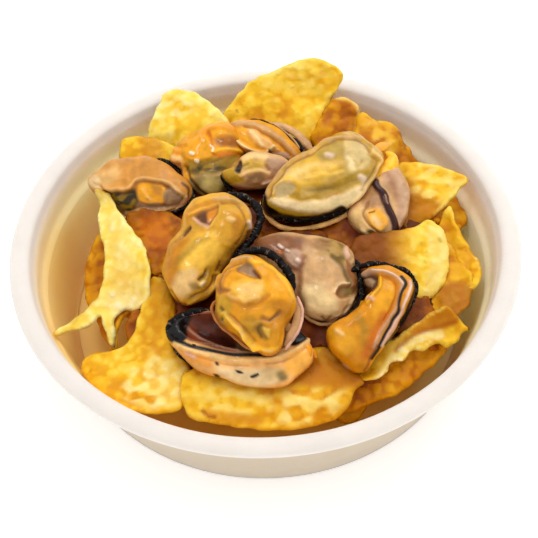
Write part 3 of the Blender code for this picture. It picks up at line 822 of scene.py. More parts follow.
def crispSheet(spec, seed, spacing):
    flat, faces, edgeAway = crispGrid(spec["outline"], spacing)
    x, y = flat[:, 0], flat[:, 1]
    bend = spec["bend"]
    middle = bend[0] * x * x + bend[1] * y * y + bend[2] * x * y - crispStyle["thickness"] / 2
    for height, size, more in crispStyle["waves"]:
        middle += height * lumps(flat, size, seed + more)
    rim = np.clip(edgeAway / crispStyle["rim"], 0, 1)
    half = crispStyle["thickness"] / 2 * np.sqrt(1 - (1 - rim) ** 2)
    inset = smoothStep(edgeAway / crispStyle["blisterInset"])
    upBubbles, downBubbles = blisters(flat, seed) * inset, blisters(flat, seed + 90) * inset
    out, dent = crispStyle["blisterHeight"], crispStyle["blisterBack"]
    right, away, normal = planeAxes(spec["lean"])
    base = np.array(spec["at"]) + x[:, None] * right + y[:, None] * away
    top = base + (middle + half + out * upBubbles - dent * downBubbles)[:, None] * normal
    bottom = base + (middle - half + dent * upBubbles - out * downBubbles)[:, None] * normal
    # the edge's points belong to the top and to the bottom
    inner = np.flatnonzero(edgeAway >= 0.01)
    under = np.arange(len(flat))
    under[inner] = len(flat) + np.arange(len(inner))
    points = np.concatenate((top, bottom[inner]))
    allFaces = faces.tolist() + under[faces][:, ::-1].tolist()
    bubbles = np.concatenate((upBubbles, downBubbles[inner]))
    colors = crispColors(points, bubbles, np.concatenate((edgeAway, edgeAway[inner])), spec["tone"], seed)
    facing = np.concatenate((np.ones(len(flat)), np.zeros(len(inner))))
    colors = paint(colors, spec.get("marks", {}), photoPixels(points), facing)
    return {"points": points, "faces": allFaces, "colors": colors}


def crispColors(points, bubbles, edgeAway, tone, seed):
    # tone goes from 0, a pale crisp, to 1, a deep one; blisters and the rim are paler
    cooked = np.full(len(points), tone)
    for strength, size, more in crispStyle["toneLumps"]:
        cooked += strength * lumps(points, size, seed + more)
    rimPale, rimWidth = crispStyle["rimPale"]
    edgePale, edgeWidth = crispStyle["edgePale"]
    cooked -= crispStyle["blisterPale"] * smoothStep(bubbles * 1.6 - 0.2) - 0.05
    cooked -= rimPale * smoothStep(1.3 - edgeAway / rimWidth)
    cooked -= edgePale * np.exp(-edgeAway / edgeWidth) - 0.07
    colors = rampColors(crispStyle["ramp"], cooked * 4)
    specks = smoothStep(lumps(points, crispStyle["speckSize"], seed + 9) * 6 - 5.6)
    specks = (specks * crispStyle["speckShare"])[:, None]
    return colors * (1 - specks) + linear(crispStyle["speck"]) * specks


fillers = {
    "seed": 12,
    "middle": (6, 3),
    "count": 46,
    "reach": 56,
    "turn": 2.39996,  # the angle in radians from one to the next, which spreads them evenly
    "top": 35.5,
    "drop": 8.5,
    "spacing": 1.25,
    "size": (12, 18),
    "outerShrink": 0.25,
    "slope": (0.12, 0.4),  # in the middle, and how much more at the edge
    "tilt": 0.12,
    "bend": [(-0.014, 0.006), (-0.012, 0.01), (-0.006, 0.006)],
    "tone": (0.9, 1.2),
    # painted shade: how much deeper the crisps in the middle, under the mussels, are
    "middleShade": 0.35,
    "sideCount": 19,
    "sideReach": 50,
    "sideHeight": (20, 23.5),
    "sideSize": (10, 13),
    "sideSlope": (0.8, 1.5),
    "sideTurn": 0.2,
    "sideBend": [(-0.014, 0), (-0.012, 0)],
    "sideTone": (0.75, 1.1),
    "outlinePoints": 9,
}


def roundOutline(draw, size, least, flatness):
    outline = []
    count = fillers["outlinePoints"]
    for j in range(count):
        turn = math.tau * j / count
        radius = size * draw.uniform(least, 1.12)
        outline.append((radius * math.cos(turn), radius * flatness * math.sin(turn)))
    return outline


def fillerCrisps():
    # crisps of the heap that show only in its gaps: on the core, and leaning round it
    draw = random.Random(fillers["seed"])
    tilt = fillers["tilt"]
    specs = []
    for k in range(fillers["count"]):
        ring = math.sqrt((k + 0.5) / fillers["count"])
        angle = k * fillers["turn"]
        reach = fillers["reach"] * ring
        x = fillers["middle"][0] + reach * math.cos(angle)
        y = fillers["middle"][1] + reach * math.sin(angle)
        slope = fillers["slope"][0] + fillers["slope"][1] * ring ** 3
        size = draw.uniform(*fillers["size"]) * (1 - fillers["outerShrink"] * ring)
        outline = roundOutline(draw, size, 0.8, 0.85)
        specs.append({
            "at": (x, y, fillers["top"] - fillers["drop"] * ring ** 2.5 + draw.uniform(-1, 1)),
            "lean": (slope * math.cos(angle) + draw.uniform(-tilt, tilt),
                     -slope * math.sin(angle) + draw.uniform(-tilt, tilt)),
            "bend": [draw.uniform(*span) for span in fillers["bend"]],
            # the tone grows towards the middle as painted shade under the mussels
            "outline": outline, "tone": draw.uniform(*fillers["tone"]) + fillers["middleShade"] * (1 - ring),
        })
    return specs + sideCrisps(draw)


def sideCrisps(draw):
    # crisps that lean on the side of the core, all the way round
    turn = fillers["sideTurn"]
    specs = []
    for k in range(fillers["sideCount"]):
        angle = math.tau * (k + draw.uniform(-turn, turn)) / fillers["sideCount"]
        outline = roundOutline(draw, draw.uniform(*fillers["sideSize"]), 0.85, 1)
        slope = draw.uniform(*fillers["sideSlope"])
        x = core["at"][0] + fillers["sideReach"] * math.cos(angle)
        y = core["at"][1] + fillers["sideReach"] * math.sin(angle)
        specs.append({
            "at": (x, y, draw.uniform(*fillers["sideHeight"])),
            "lean": (slope * math.cos(angle + draw.uniform(-turn, turn)),
                     -slope * math.sin(angle + draw.uniform(-turn, turn))),
            "bend": [draw.uniform(*span) for span in fillers["sideBend"]] + [0],
            "outline": outline, "tone": draw.uniform(*fillers["sideTone"]),
        })
    return specs


core = {
    "at": (8.0, 3.0),
    "profile": [(0.3, 33.6), (14, 33.4), (26, 32.6), (41, 31), (47.5, 28.5), (52.5, 24.5), (54.5, 17),
                (50.5, 9), (46.5, 3.2), (30, 2.8), (0.3, 2.8)],
    "segments": 180,
    "crumple": [(0.9, 6, 31), (0.5, 2.5, 32)],  # height, size, seed
    "flatBelow": 6,
    # the core's colours are painted deep shade
    "tone": (120, 56, 4),
    "shade": (60, 22, 2),
}


def heapCore():
    # crumpled layers of crisps, seen only deep in the gaps, coloured as painted deep shade
    profile = smoothLine(core["profile"], False, 5)
    points = spunRings(profile, core["segments"]) + np.array((*core["at"], 0))
    crumple = sum(height * lumps(points, size, seed) for height, size, seed in core["crumple"])
    points[:, 2] += np.where(points[:, 2] > core["flatBelow"], crumple, 0)
    top, bottom = core["profile"][0][1], core["profile"][-1][1]
    points = np.concatenate((points, [(*core["at"], top), (*core["at"], bottom)]))
    share = (0.5 + 0.5 * lumps(points, 7, 33))[:, None]
    colors = linear(core["tone"]) * (1 - share) + linear(core["shade"]) * share
    return {"points": points, "faces": closedFaces(len(profile), core["segments"]), "colors": colors}


def insideBowl(points):
    # keeps a crisp within the bowl's wall
    radius = np.hypot(points[:, 0], points[:, 1])
    height = points[:, 2]
    foot = bowl["footRadius"] - bowl["wall"]
    step = bowl["stepRadius"] - bowl["wall"]
    lip = bowl["rimRadius"] - bowl["lipInside"] - 1.0
    heights = [3, bowl["stepHeight"], bowl["stepHeight"] + 1.8, 32]
    room = np.interp(height, heights, [foot, step, step + bowl["stepWidth"], lip]) - crispStyle["wallGap"]
    share = np.where(height < bowl["height"], np.minimum(1, room / np.maximum(radius, 1e-6)), 1)
    points[:, :2] *= share[:, None]
    points[:, 2] = np.maximum(points[:, 2], bowl["floor"] + crispStyle["stackGap"])
    return points


def shadeNearMussels(sheet, pile, reach, depth):
    # painted shade: crisps near the mussels are darkened where the mussels shade them
    near = np.ones(len(sheet["points"]))
    for k, point in enumerate(sheet["points"]):
        found = pile.find_nearest(Vector(point), reach)
        if found[0] is not None:
            near[k] = found[3] / reach
    share = (depth * smoothStep(1 - near))[:, None]
    sheet["colors"] = sheet["colors"] * (1 - share * (1 - np.array(crispStyle["shadeTint"])))


def sinkUnder(points, tree):
    # a hidden crisp never rises through one that shows
    down = Vector((0, 0, -1))
    for k, point in enumerate(points):
        found = tree.ray_cast(Vector(point) + Vector((0, 0, 0.2)), down, crispStyle["stackReach"])
        if found[0] is not None:
            points[k, 2] = found[0].z - crispStyle["thickness"] - crispStyle["stackGap"]


def wholeTree(parts):
    points, faces, start = [], [], 0
    for part in parts:
        points += part["points"].tolist()
        faces += [tuple(start + k for k in face) for face in part["faces"]]
        start = len(points)
    return BVHTree.FromPolygons(points, faces)


def makeCrisps(material, bodies):
    pile = wholeTree(bodies)
    shown = []
    for k, spec in enumerate(shownCrisps.values()):
        sheet = crispSheet(spec, 100 + k, crispStyle["spacing"])
        sheet["points"] = insideBowl(sheet["points"])
        shadeNearMussels(sheet, pile, *crispStyle["shadeShown"])
        shown.append(sheet)
    above = wholeTree(shown)
    addPiece("crisps_on_top", shown, [material], "crisps")
    print("shown crisps:", sum(len(part["faces"]) for part in shown), "faces")
    hidden = []
    for k, spec in enumerate(fillerCrisps()):
        sheet = crispSheet(spec, 300 + k, fillers["spacing"])
        sheet["points"] = insideBowl(sheet["points"])
        sinkUnder(sheet["points"], above)
        shadeNearMussels(sheet, pile, *crispStyle["shadeHidden"])
        hidden.append(sheet)
    addPiece("crisps_below", hidden, [material], "crisps")
    addPiece("crisps_deep", [heapCore()], [material], "crisps")
    print("hidden crisps:", sum(len(part["faces"]) for part in hidden), "faces")


# the mussels

musselStyle = {
    "segments": 192,
    "topRings": 62,
    "bottomRings": 20,
    "fullness": 2.3,
    "lumps": [(0.35, 5.5), (0.12, 2.2)],  # height, size
    "blotches": [(0.1, 5), (0.06, 2)],  # strength, size
    "waver": 0.9,  # pixels by which a mark's edge wanders
    "restGap": 0.1,
    "stripSides": 12,
    "stripStep": 0.18,
    "frillWaves": [(0.14, 3.2), (0.08, 1.3)],  # strength, size
    "frillShift": (0.25, 4),
    "ridgeEvery": 0.85,
    "ridgeHeight": 0.08,
    "frillRough": 0.14,
    "lipRough": 0.06,
    "roughSize": 1.2,
    "stripShades": (0.18, 2.2),
    "wetShare": 0.7,
    "shadeBelowDepth": 5,  # how far down the painted shade below takes to be full
}


def lip(tone, width, thick, lift, path):
    return {"tone": tone, "width": width, "thick": thick, "lift": lift, "path": path, "frill": False}


def frill(width, thick, lift, path, tone="black"):
    return {"tone": tone, "width": width, "thick": thick, "lift": lift, "path": path, "frill": True}


# Each mussel lies in a plane of its own, as its solid does. Frills and lips are strips along its edge:
# their path is in pixels, their width and thickness in millimetres, and lift is their height over the
# plane. The outline and the spine are millimetres in the plane; rise and sink are over and under it.

# under is the colour of a mussel's lower sides, painted shade on most of them
musselGolden = {
    "name": "mussel_golden", "at": (-4, -34.5, 45), "lean": (-0.05, 0.45), "rise": 7, "sink": 8,
    "base": "gold", "under": "redBrown", "spine": [(-1, 6), (3, -6)],
    "outline": [(-11, 4), (-9, 10), (-4, 14), (2, 14), (8, 9), (12, 3), (12, -2), (9, -7), (7, -13),
        (3, -15), (-3, -11), (-8, -7), (-11, -2)],
    "marks": {
        "rightShoulder": area("amber", [(262, 270), (278, 279), (291, 297), (284, 312), (270, 301),
            (262, 287)], rise=0.3, soft=8),
        "topLip": line("brightGold", 4, [(250, 261), (262, 263), (275, 270), (287, 284), (293, 298)],
            rise=0.4),
        "beigeLip": line("beige", 3.2, [(216, 290), (216, 280), (220, 270), (229, 262), (240, 258),
            (252, 258)], rise=0.8),
        "lipShade": line("brown", 2, [(220, 288), (220.5, 280), (225, 271), (233, 265), (241, 262)],
            rise=-0.5),
        "ledge": area("amber", [(223, 279), (229, 271), (240, 271), (252, 277), (252, 282), (238, 286),
            (227, 289)], rise=-0.5, soft=3),
        "ledgeShade": line("warmBrown", 3, [(222, 287), (224, 278), (230, 271)], soft=3, amount=0.6),
        "cavity": area("greyBrown", [(237, 268), (243, 263), (250, 263), (255, 270), (260, 278), (250, 276),
            (243, 272)], rise=-1.2, soft=2),
        "cavityRim": line("brown", 1.6, [(238, 270), (245, 275), (253, 278), (259, 279)], rise=-0.4),
        "cavityDeep": line("redBrown", 2.6, [(254, 270), (259, 277)], rise=-0.3),
        "highlight": area("yellow", [(233, 283), (248, 280), (262, 282), (265, 292), (258, 299), (246, 301),
            (236, 297), (230, 291)], rise=0.9, soft=7, amount=0.65),
        "highlightTop": area("palePeach", [(238, 286), (250, 284), (262, 286), (259, 294), (246, 297),
            (238, 293)], soft=6, amount=0.65),
        # painted highlight along the scalloped ridge
        "scallops": line("palePeach", 3, [(229, 296), (234, 299), (240, 298), (246, 301), (252, 300),
            (260, 297)], rise=0.4, soft=4, amount=0.6),
        "underHighlight": line("warmBrown", 4, [(228, 301), (236, 303), (246, 306), (258, 303), (268, 296)],
            rise=-0.5, soft=5, amount=0.5),
        "hollowBelow": area("gold", [(228, 304), (245, 306), (262, 301), (276, 300), (286, 310), (276, 327),
            (256, 323), (240, 322), (230, 314)], rise=-0.6, soft=8, amount=0.9),
        # the notch's colour is a painted shadow under the ledge
        "notch": area("brown", [(214, 289), (222, 288), (231, 290.5), (227, 293), (218, 293)], rise=-0.6,
            soft=4, amount=0.8),
        "oliveSide": area("oliveYellow", [(213, 299), (224, 296), (231, 304), (229, 318), (224, 326),
            (216, 318)], amount=0.9),
        "sideShade": line("brown", 4, [(215, 298), (214, 306), (217, 316), (226, 328)], soft=5),
        "lowRight": area("deepGold", [(272, 300), (288, 300), (290, 318), (282, 334), (272, 326),
            (276, 314)], soft=8, amount=0.7),
        "sideCrease": line("darkOlive", 3, [(220.5, 307), (224, 312), (222, 319)], rise=-0.7, soft=2.5),
        # painted highlight along the raised streak
        "highlightStreak": line("yellow", 5, [(224, 314), (231, 323), (240, 331), (247, 340), (255, 348)], rise=1.2,
            soft=3),
        "streakShine": line("palePeach", 2.6, [(241, 331), (247, 337)], soft=3),
        "streakSide": line("brown", 2.4, [(230, 316), (238, 323), (247, 331), (254, 341)], rise=-0.4, soft=3,
            amount=0.7),
        "lowShade": area("redBrown", [(227, 331), (238, 337), (247, 348), (236, 345)], soft=3, amount=0.85),
        "rightCrease": line("brown", 5, [(262, 318), (271, 319), (280, 312)], rise=-0.7, soft=5, amount=0.7),
        "rightCreaseDark": line("darkOlive", 2.4, [(270, 319), (278, 315)], soft=3),
        "lowOlive": area("olive", [(240, 318), (252, 316), (262, 324), (252, 332), (242, 328)], soft=8,
            amount=0.6),
        # painted shade in the hole, with a painted highlight on the flap in it
        "hole": area("darkOlive", [(254, 328), (261, 324), (269, 327), (271, 334), (266, 340), (259, 336)],
            rise=-0.8, soft=7, amount=0.6),
        "holeDark": line("deepOlive", 2.2, [(261, 325), (258, 329), (261, 336)], soft=4, amount=0.7),
        "holeFlap": area("yellow", [(263, 328), (270, 329), (268.5, 337)], rise=0.6, soft=4, amount=0.8),
        "lobeLeft": line("brightGold", 7, [(246, 336), (252, 344), (257, 348)], rise=0.8, soft=5,
            amount=0.7),
        "lobeRight": line("gold", 6, [(277, 326), (278, 336), (276, 345)], rise=0.5, soft=5, amount=0.6),
        "bottomShine": line("brightGold", 5, [(256, 347), (266, 350.5), (277, 348)], rise=0.6, soft=3),
        "bottomGlint": line("palePeach", 2, [(264, 350), (272, 350)], soft=2),
    },
    "strips": [
        frill(2.4, 1.8, -0.3, [(239, 260), (243, 254), (252, 250.5), (263, 251), (274, 256.5), (283, 265),
            (291, 278), (294, 291)]),
        lip("shell", 2.8, 1.0, -1.6, [(294, 297), (298.5, 311), (295, 328), (285, 346)]),
        lip("pink", 1.0, 1.0, -1.2, [(297, 296), (302.5, 312), (298, 331), (285, 350)]),
        lip("warmBrown", 1.1, 1.4, -1.8, [(216, 300), (212, 310), (220, 325), (232, 335), (245, 346),
            (258, 352)]),
    ],
}

musselOlive = {
    "name": "mussel_olive", "at": (18, 15, 44), "lean": (0.1, 0.3), "rise": 7, "sink": 9,
    "base": "oliveYellow", "under": "peach", "spine": [(-9, -3), (9, 6)],
    "outline": [(-18, -9), (-17, -4), (-13, 2), (-7, 8), (-1, 11), (4, 15), (11, 17), (17, 13), (21, 8),
        (19, 2), (14, -5), (8, -10), (0, -13), (-8, -14), (-15, -12)],
    "marks": {
        "wash": area("yellow", [(282, 184), (291, 168), (306, 159), (324, 158), (336, 168), (322, 182),
            (300, 190)], rise=0.4, soft=14, amount=0.6),
        "leftCream": area("paleCream", [(280, 180), (290, 170), (304, 166), (318, 164), (300, 176),
            (288, 184)], soft=9, amount=0.4),
        "topZone": area((180, 144, 48), [(319, 150), (328, 142), (343, 139), (343, 155), (332, 160),
            (320, 161)], soft=7),
        "greenRight": area((212, 180, 112), [(345, 139), (358, 140), (369, 150), (370, 164), (360, 172),
            (350, 167), (344, 156)], rise=0.4),
        "greenBand": area((176, 142, 44), [(340, 166), (352, 168), (364, 172), (374, 168), (374, 178),
            (362, 186), (350, 180), (340, 176)], soft=8, amount=0.85),
        "hook": area("paleCream", [(345, 157), (350, 158), (357, 170), (350, 170)], rise=0.3, amount=0.7),
        "hookDark": line("olive", 2.4, [(353, 161), (358, 167), (361, 161)], soft=3.5, amount=0.6),
        # painted glints
        "glintTop": line("palePink", 5, [(327, 155), (332, 156.5)], rise=0.4, soft=4, amount=0.65),
        "glintRight": line("palePink", 6, [(361, 177), (364, 180)], rise=0.5, soft=4, amount=0.7),
        "diagonal": area("olive", [(302, 192), (316, 185), (334, 181), (352, 177), (358, 184), (342, 190),
            (322, 194)], rise=-0.4, soft=10, amount=0.65),
        "deepPatch": area("darkOlive", [(308, 190), (324, 186), (340, 184), (334, 189), (320, 192)], soft=7,
            amount=0.6, mottle=9),
        "ridge": line("yellow", 4, [(306, 178), (318, 176), (330, 176), (342, 172)], rise=0.5, soft=6,
            amount=0.6),
        "lowOlive": area("olive", [(292, 192), (304, 191), (320, 195), (314, 201), (298, 200)], soft=8,
            amount=0.6),
        "shelf": area("cream", [(270, 199), (282, 197), (300, 202), (325, 199), (345, 192), (366, 184),
            (362, 198), (345, 208), (320, 212), (296, 211), (278, 206)], rise=0.5, soft=6),
        # painted light on the shelf
        "shelfLit": area("paleCream", [(300, 205), (325, 203), (350, 195), (360, 191), (350, 203),
            (325, 209), (305, 210)], soft=6, amount=0.9),
        "creaseMark": line("warmBrown", 1.6, [(326, 198), (331, 196), (337, 193)], soft=2, amount=0.7),
        "muscle": area((190, 162, 106), [(274, 193), (277, 186), (284, 183), (293, 184), (295, 189),
            (289, 195), (279, 197)], rise=-0.3, soft=2.5),
        "paleMottle": area("paleCream", [(298, 178), (328, 160), (372, 158), (372, 180), (340, 196),
            (300, 198)], soft=8, amount=0.12, mottle=10),
        # painted highlight on the muscle's edge
        "muscleHighlight": line("palePeach", 1.6, [(272, 193), (275, 186), (283, 181), (291, 181)], rise=0.3,
            amount=0.7),
        "spots": line("brightGold", 4, [(285, 179), (291, 178), (297, 184)], rise=0.4, soft=4, amount=0.7),
        "rimDark": line("brown", 1.6, [(269, 198), (271.5, 190), (281, 176), (292, 164), (304, 157.5),
            (314, 155), (320, 147), (333.5, 141.5), (348, 139.5), (360, 142), (370, 152)], rise=-0.3,
            amount=0.85),
        "rimPale": line("shell", 2.4, [(266, 199), (268, 189), (278, 174), (290, 161), (303, 154.5),
            (311, 152), (317, 144), (332, 138.5), (348, 136.5), (362, 139)], rise=0.4, amount=0.9),
        "rightRidge": line("palePeach", 3, [(373, 151), (381, 160), (375, 174), (365, 189), (352, 204)],
            rise=0.5),
        "rightLine": line("brown", 1.3, [(369, 154), (377, 162), (371, 175), (361, 190)], rise=-0.3,
            amount=0.6),
        "frillBand": line("black", 9, [(263, 198), (264.5, 206), (271, 213.5), (281, 218.5), (296, 221),
            (313, 219.5), (330, 215.5), (342, 210)], rise=-0.3, soft=3, amount=1),
    },
    "strips": [
        frill(2.3, 2.2, -1.0, [(265, 194), (264.5, 203), (270, 211), (281, 216.5), (296, 220), (313, 219),
            (330, 215), (345, 208), (356, 200)]),
        lip("peach", 1.7, 1.5, -2.6, [(261, 201), (265, 213), (277, 225), (294, 229.5), (313, 227.5),
            (334, 221), (352, 211), (365, 200), (378, 186)]),
        lip("brightGold", 5.0, 3.6, -1.0, [(368, 186), (380, 176), (390, 167), (392, 158), (386, 152)]),
        lip("paleOrange", 3.4, 0.9, -2.5, [(371, 150), (381, 147), (392, 142.5)]),
    ],
}

musselMustard = {
    "name": "mussel_mustard", "at": (-18, -11, 43), "lean": (-0.15, 0.3), "rise": 7, "sink": 9,
    "base": "mustard", "under": "redBrown", "spine": [(4, 11), (-3, 0), (-5, -9)],
    "outline": [(-13, -4), (-11, 2), (-7, 7), (-6, 12), (-3, 17), (3, 18), (9, 17), (14, 12), (14, 6),
        (10, 0), (6, -5), (3, -9), (2, -13), (-3, -16), (-8, -16), (-12, -10)],
    "marks": {
        "leftShade": area("deepGold", [(164, 264), (170, 248), (184, 238), (190, 240), (182, 256),
            (174, 284), (166, 280)], soft=8, amount=0.9),
        "paleMiddle": area("yellow", [(196, 238), (212, 232), (226, 244), (214, 260), (196, 270), (182, 270),
            (184, 252)], rise=0.4, soft=10, amount=0.75),
        "lowPale": area("cream", [(176, 276), (190, 268), (198, 276), (190, 294), (180, 298), (172, 288)],
            soft=8, amount=0.45),
        "topLobe": area("deepGold", [(186, 212), (198, 203), (215, 200), (224, 204), (212, 208), (196, 214),
            (188, 226)], soft=4, amount=0.7),
        "rightRidge": area("mustard", [(222, 208), (236, 209), (244, 220), (240, 236), (228, 248),
            (218, 238), (220, 222)], rise=0.6, soft=6),
        "ridgeDeep": area("deepGold", [(234, 212), (243, 220), (240, 236), (232, 244), (232, 228)], soft=6,
            amount=0.7),
        "cavity": area("brown", [(194, 216), (218, 204.5), (220.5, 210), (214, 222), (207, 227)], rise=-0.9,
            soft=4),
        "cavityDark": area("darkBrown", [(196, 216), (208, 211), (207, 220), (203, 223)], soft=4,
            amount=0.8),
        "cavityFloor": area("orange", [(207, 212), (218, 207), (213, 219), (208, 221)], soft=4, amount=0.7),
        "pinkRidge": line("pink", 3, [(194, 219), (200, 223.5), (208, 227)], rise=0.5, amount=0.7),
        "brightLip": line("paleOrange", 2.2, [(189, 214), (199, 210.5), (209, 207), (219, 203.5)], rise=0.3),
        "cavityRight": line("yellow", 2, [(220.5, 205), (218.5, 214), (211, 226)], rise=0.4),
        "sideCrease": area("darkBrown", [(182, 233), (190, 226), (191, 229), (185, 236)], rise=-0.6,
            soft=2.5),
        "lobeCrease": line("warmBrown", 2, [(175, 242), (182, 236), (188, 230)], rise=-0.5, soft=3),
        "doubleLip": line("beige", 3.2, [(214, 199.5), (226, 198.5), (239, 202), (248, 210), (251.5, 221),
            (250, 229)], rise=0.6),
        "lipLine": line("brown", 1.5, [(222, 203.5), (234, 204.5), (242, 211), (246, 222), (243, 235),
            (236, 244)], rise=-0.4),
        "lipEnd": line("palePink", 3.2, [(248.5, 222), (250, 228)], rise=0.6),
        "shineOne": line("palePeach", 4, [(228, 219), (234, 221)], rise=0.6, soft=3),
        "shineTwo": line("palePeach", 2.6, [(222, 225)], rise=0.3, soft=3),
        "faintOlive": line("olive", 6, [(178, 262), (188, 252), (196, 243), (206, 238)], soft=6,
            amount=0.55),
        "rightShade": line("brown", 5, [(246, 232), (238, 246), (228, 256), (222, 266)], soft=6, amount=0.5),
        "slit": line("blackBrown", 2.8, [(206, 271), (205, 275.5), (200, 279)], rise=-0.9, soft=2),
        "slitShade": line("darkOlive", 5, [(207, 267), (209, 273), (203, 281)], soft=5, amount=0.4),
        "bump": line("paleCream", 4.6, [(201.5, 284.5), (204, 282.5)], rise=0.8, soft=3.4),
        "smudge": area("darkOlive", [(189, 284), (197, 281), (200, 288), (193, 290)], amount=0.6),
        "lowLip": line("yellow", 3, [(218.5, 273), (217.5, 283), (211, 292), (201, 299), (188, 302.5)],
            rise=0.7),
        "lowLine": line("brown", 1.6, [(213.5, 277), (210.5, 286), (201, 293), (193, 297)], rise=-0.5),
        "leftCrease": line("darkBrown", 1.6, [(171, 290), (176, 298), (181, 305)], rise=-0.5),
        "waist": line("redBrown", 3, [(219, 262), (217, 270)], soft=3),
    },
    "strips": [
        frill(2.4, 2.0, -0.6, [(221, 202), (226, 196.5), (236, 195.5), (247, 199), (256, 206), (260.5, 217),
            (258, 228), (251.5, 239), (243, 249), (233, 258)]),
        lip("paleOrange", 1.4, 1.2, -0.6, [(187, 228), (189, 211), (198.5, 201.5), (213, 199.5)]),
    ],
}

musselBeige = {
    "name": "mussel_beige", "at": (17, -21, 39), "lean": (0.1, 0.35), "rise": 7, "sink": 7,
    "base": "beige", "under": "blackBrown", "spine": [(-8, 6), (2, -5)],
    "outline": [(-19, 12.5), (-13, 14.5), (-4, 13.5), (4, 12), (9, 8), (10, 2), (10.5, -4), (8, -10),
        (3, -14), (-3, -13), (-8, -9.5), (-12, -4), (-15, 2), (-19, 8)],
    "marks": {
        # partly the lobe's own brown, partly painted shadow
        "upperLeft": area((136, 82, 42), [(248, 242), (270, 234), (292, 235), (304, 241), (301, 256),
            (298, 272), (284, 266), (266, 253)], soft=8),
        "pinkLobe": area("greyPink", [(284, 252), (298, 249), (304, 258), (298, 268), (287, 263)], rise=0.7),
        "shineOne": line("palePink", 2.6, [(279, 245), (282, 247)], rise=0.5),
        "shineTwo": line("palePink", 2.4, [(286, 249.5), (288, 251)], rise=0.5),
        "shineThree": line("palePink", 3.4, [(296, 260), (300, 262)], rise=0.6),
        "orangeSpot": line("deepOrange", 3, [(279, 250), (282, 252)], soft=3, amount=0.7),
        # painted shadow in the valley between the two lobes
        "valley": line("redBrown", 6, [(304, 258), (300, 268), (298.5, 280), (298, 293), (301, 306)],
            rise=-0.6, soft=8, amount=0.7),
        "lowCream": area("paleCream", [(302, 290), (316, 284), (332, 296), (338, 308), (326, 318),
            (308, 312)], rise=0.3, soft=12, amount=0.6),
        "softGroove": line("deepBeige", 7, [(318, 256), (323, 268), (326, 280)], rise=-0.3, soft=8,
            amount=0.5),
        "darkRight": area("olive", [(315, 240), (334, 241), (346, 248), (350, 256), (344, 262), (333, 258),
            (320, 254)], soft=8, amount=0.75),
        "darkSpots": area("darkOlive", [(319, 240), (334, 241), (346, 248), (350, 256), (344, 260),
            (333, 256)], soft=6, amount=0.8, mottle=9),
        "brownTop": area("brown", [(300, 238), (318, 239), (332, 243), (324, 250), (306, 246)], amount=0.55),
        "pinkBump": line("pink", 6, [(346, 250), (348, 256)], rise=0.8, soft=3),
        "groove": line("darkOlive", 5, [(333, 257), (340, 263), (345, 272), (350, 283)], rise=-0.6, soft=5),
        "pastGroove": area("brown", [(346, 260), (353, 266), (357, 280), (356, 294), (351, 280), (347, 270)],
            soft=3),
        "hollowLip": line("cream", 2, [(334, 292), (339, 286), (349, 283)], rise=0.6, soft=2),
        "hollow": area("brown", [(336, 292), (340, 287), (348, 285), (355, 287), (357, 292), (351, 297),
            (343, 299), (337, 296)], rise=-1.1, soft=4, amount=0.9),
        "hollowFloor": area("greenGrey", [(342, 289), (353, 288), (354, 293), (345, 296)]),
        "rightLip": line("darkBrown", 2, [(354, 264), (358.5, 280), (358.5, 295), (354, 306)], rise=-0.2),
        "lowLine": line("brown", 1.6, [(300, 314), (312, 320.5), (324, 322.5), (338, 318), (349, 306)],
            rise=-0.4),
        "lowRight": line("cream", 2, [(353, 300), (346, 311), (336, 317)], rise=0.4, soft=2),
        "notch": line("brown", 2, [(322, 317), (326, 321), (330, 317)], rise=-0.6, soft=2),
    },
    "strips": [
        frill(2.0, 1.8, -1.0, [(352, 258), (358, 268), (361, 280), (362, 292), (360.5, 303), (353, 312),
            (344, 318.5), (335, 323)]),
        lip("shell", 1.0, 1.3, -0.6, [(299, 311), (311, 320.5), (324, 324.5), (337, 321), (348, 312),
            (356, 300)]),
    ],
}

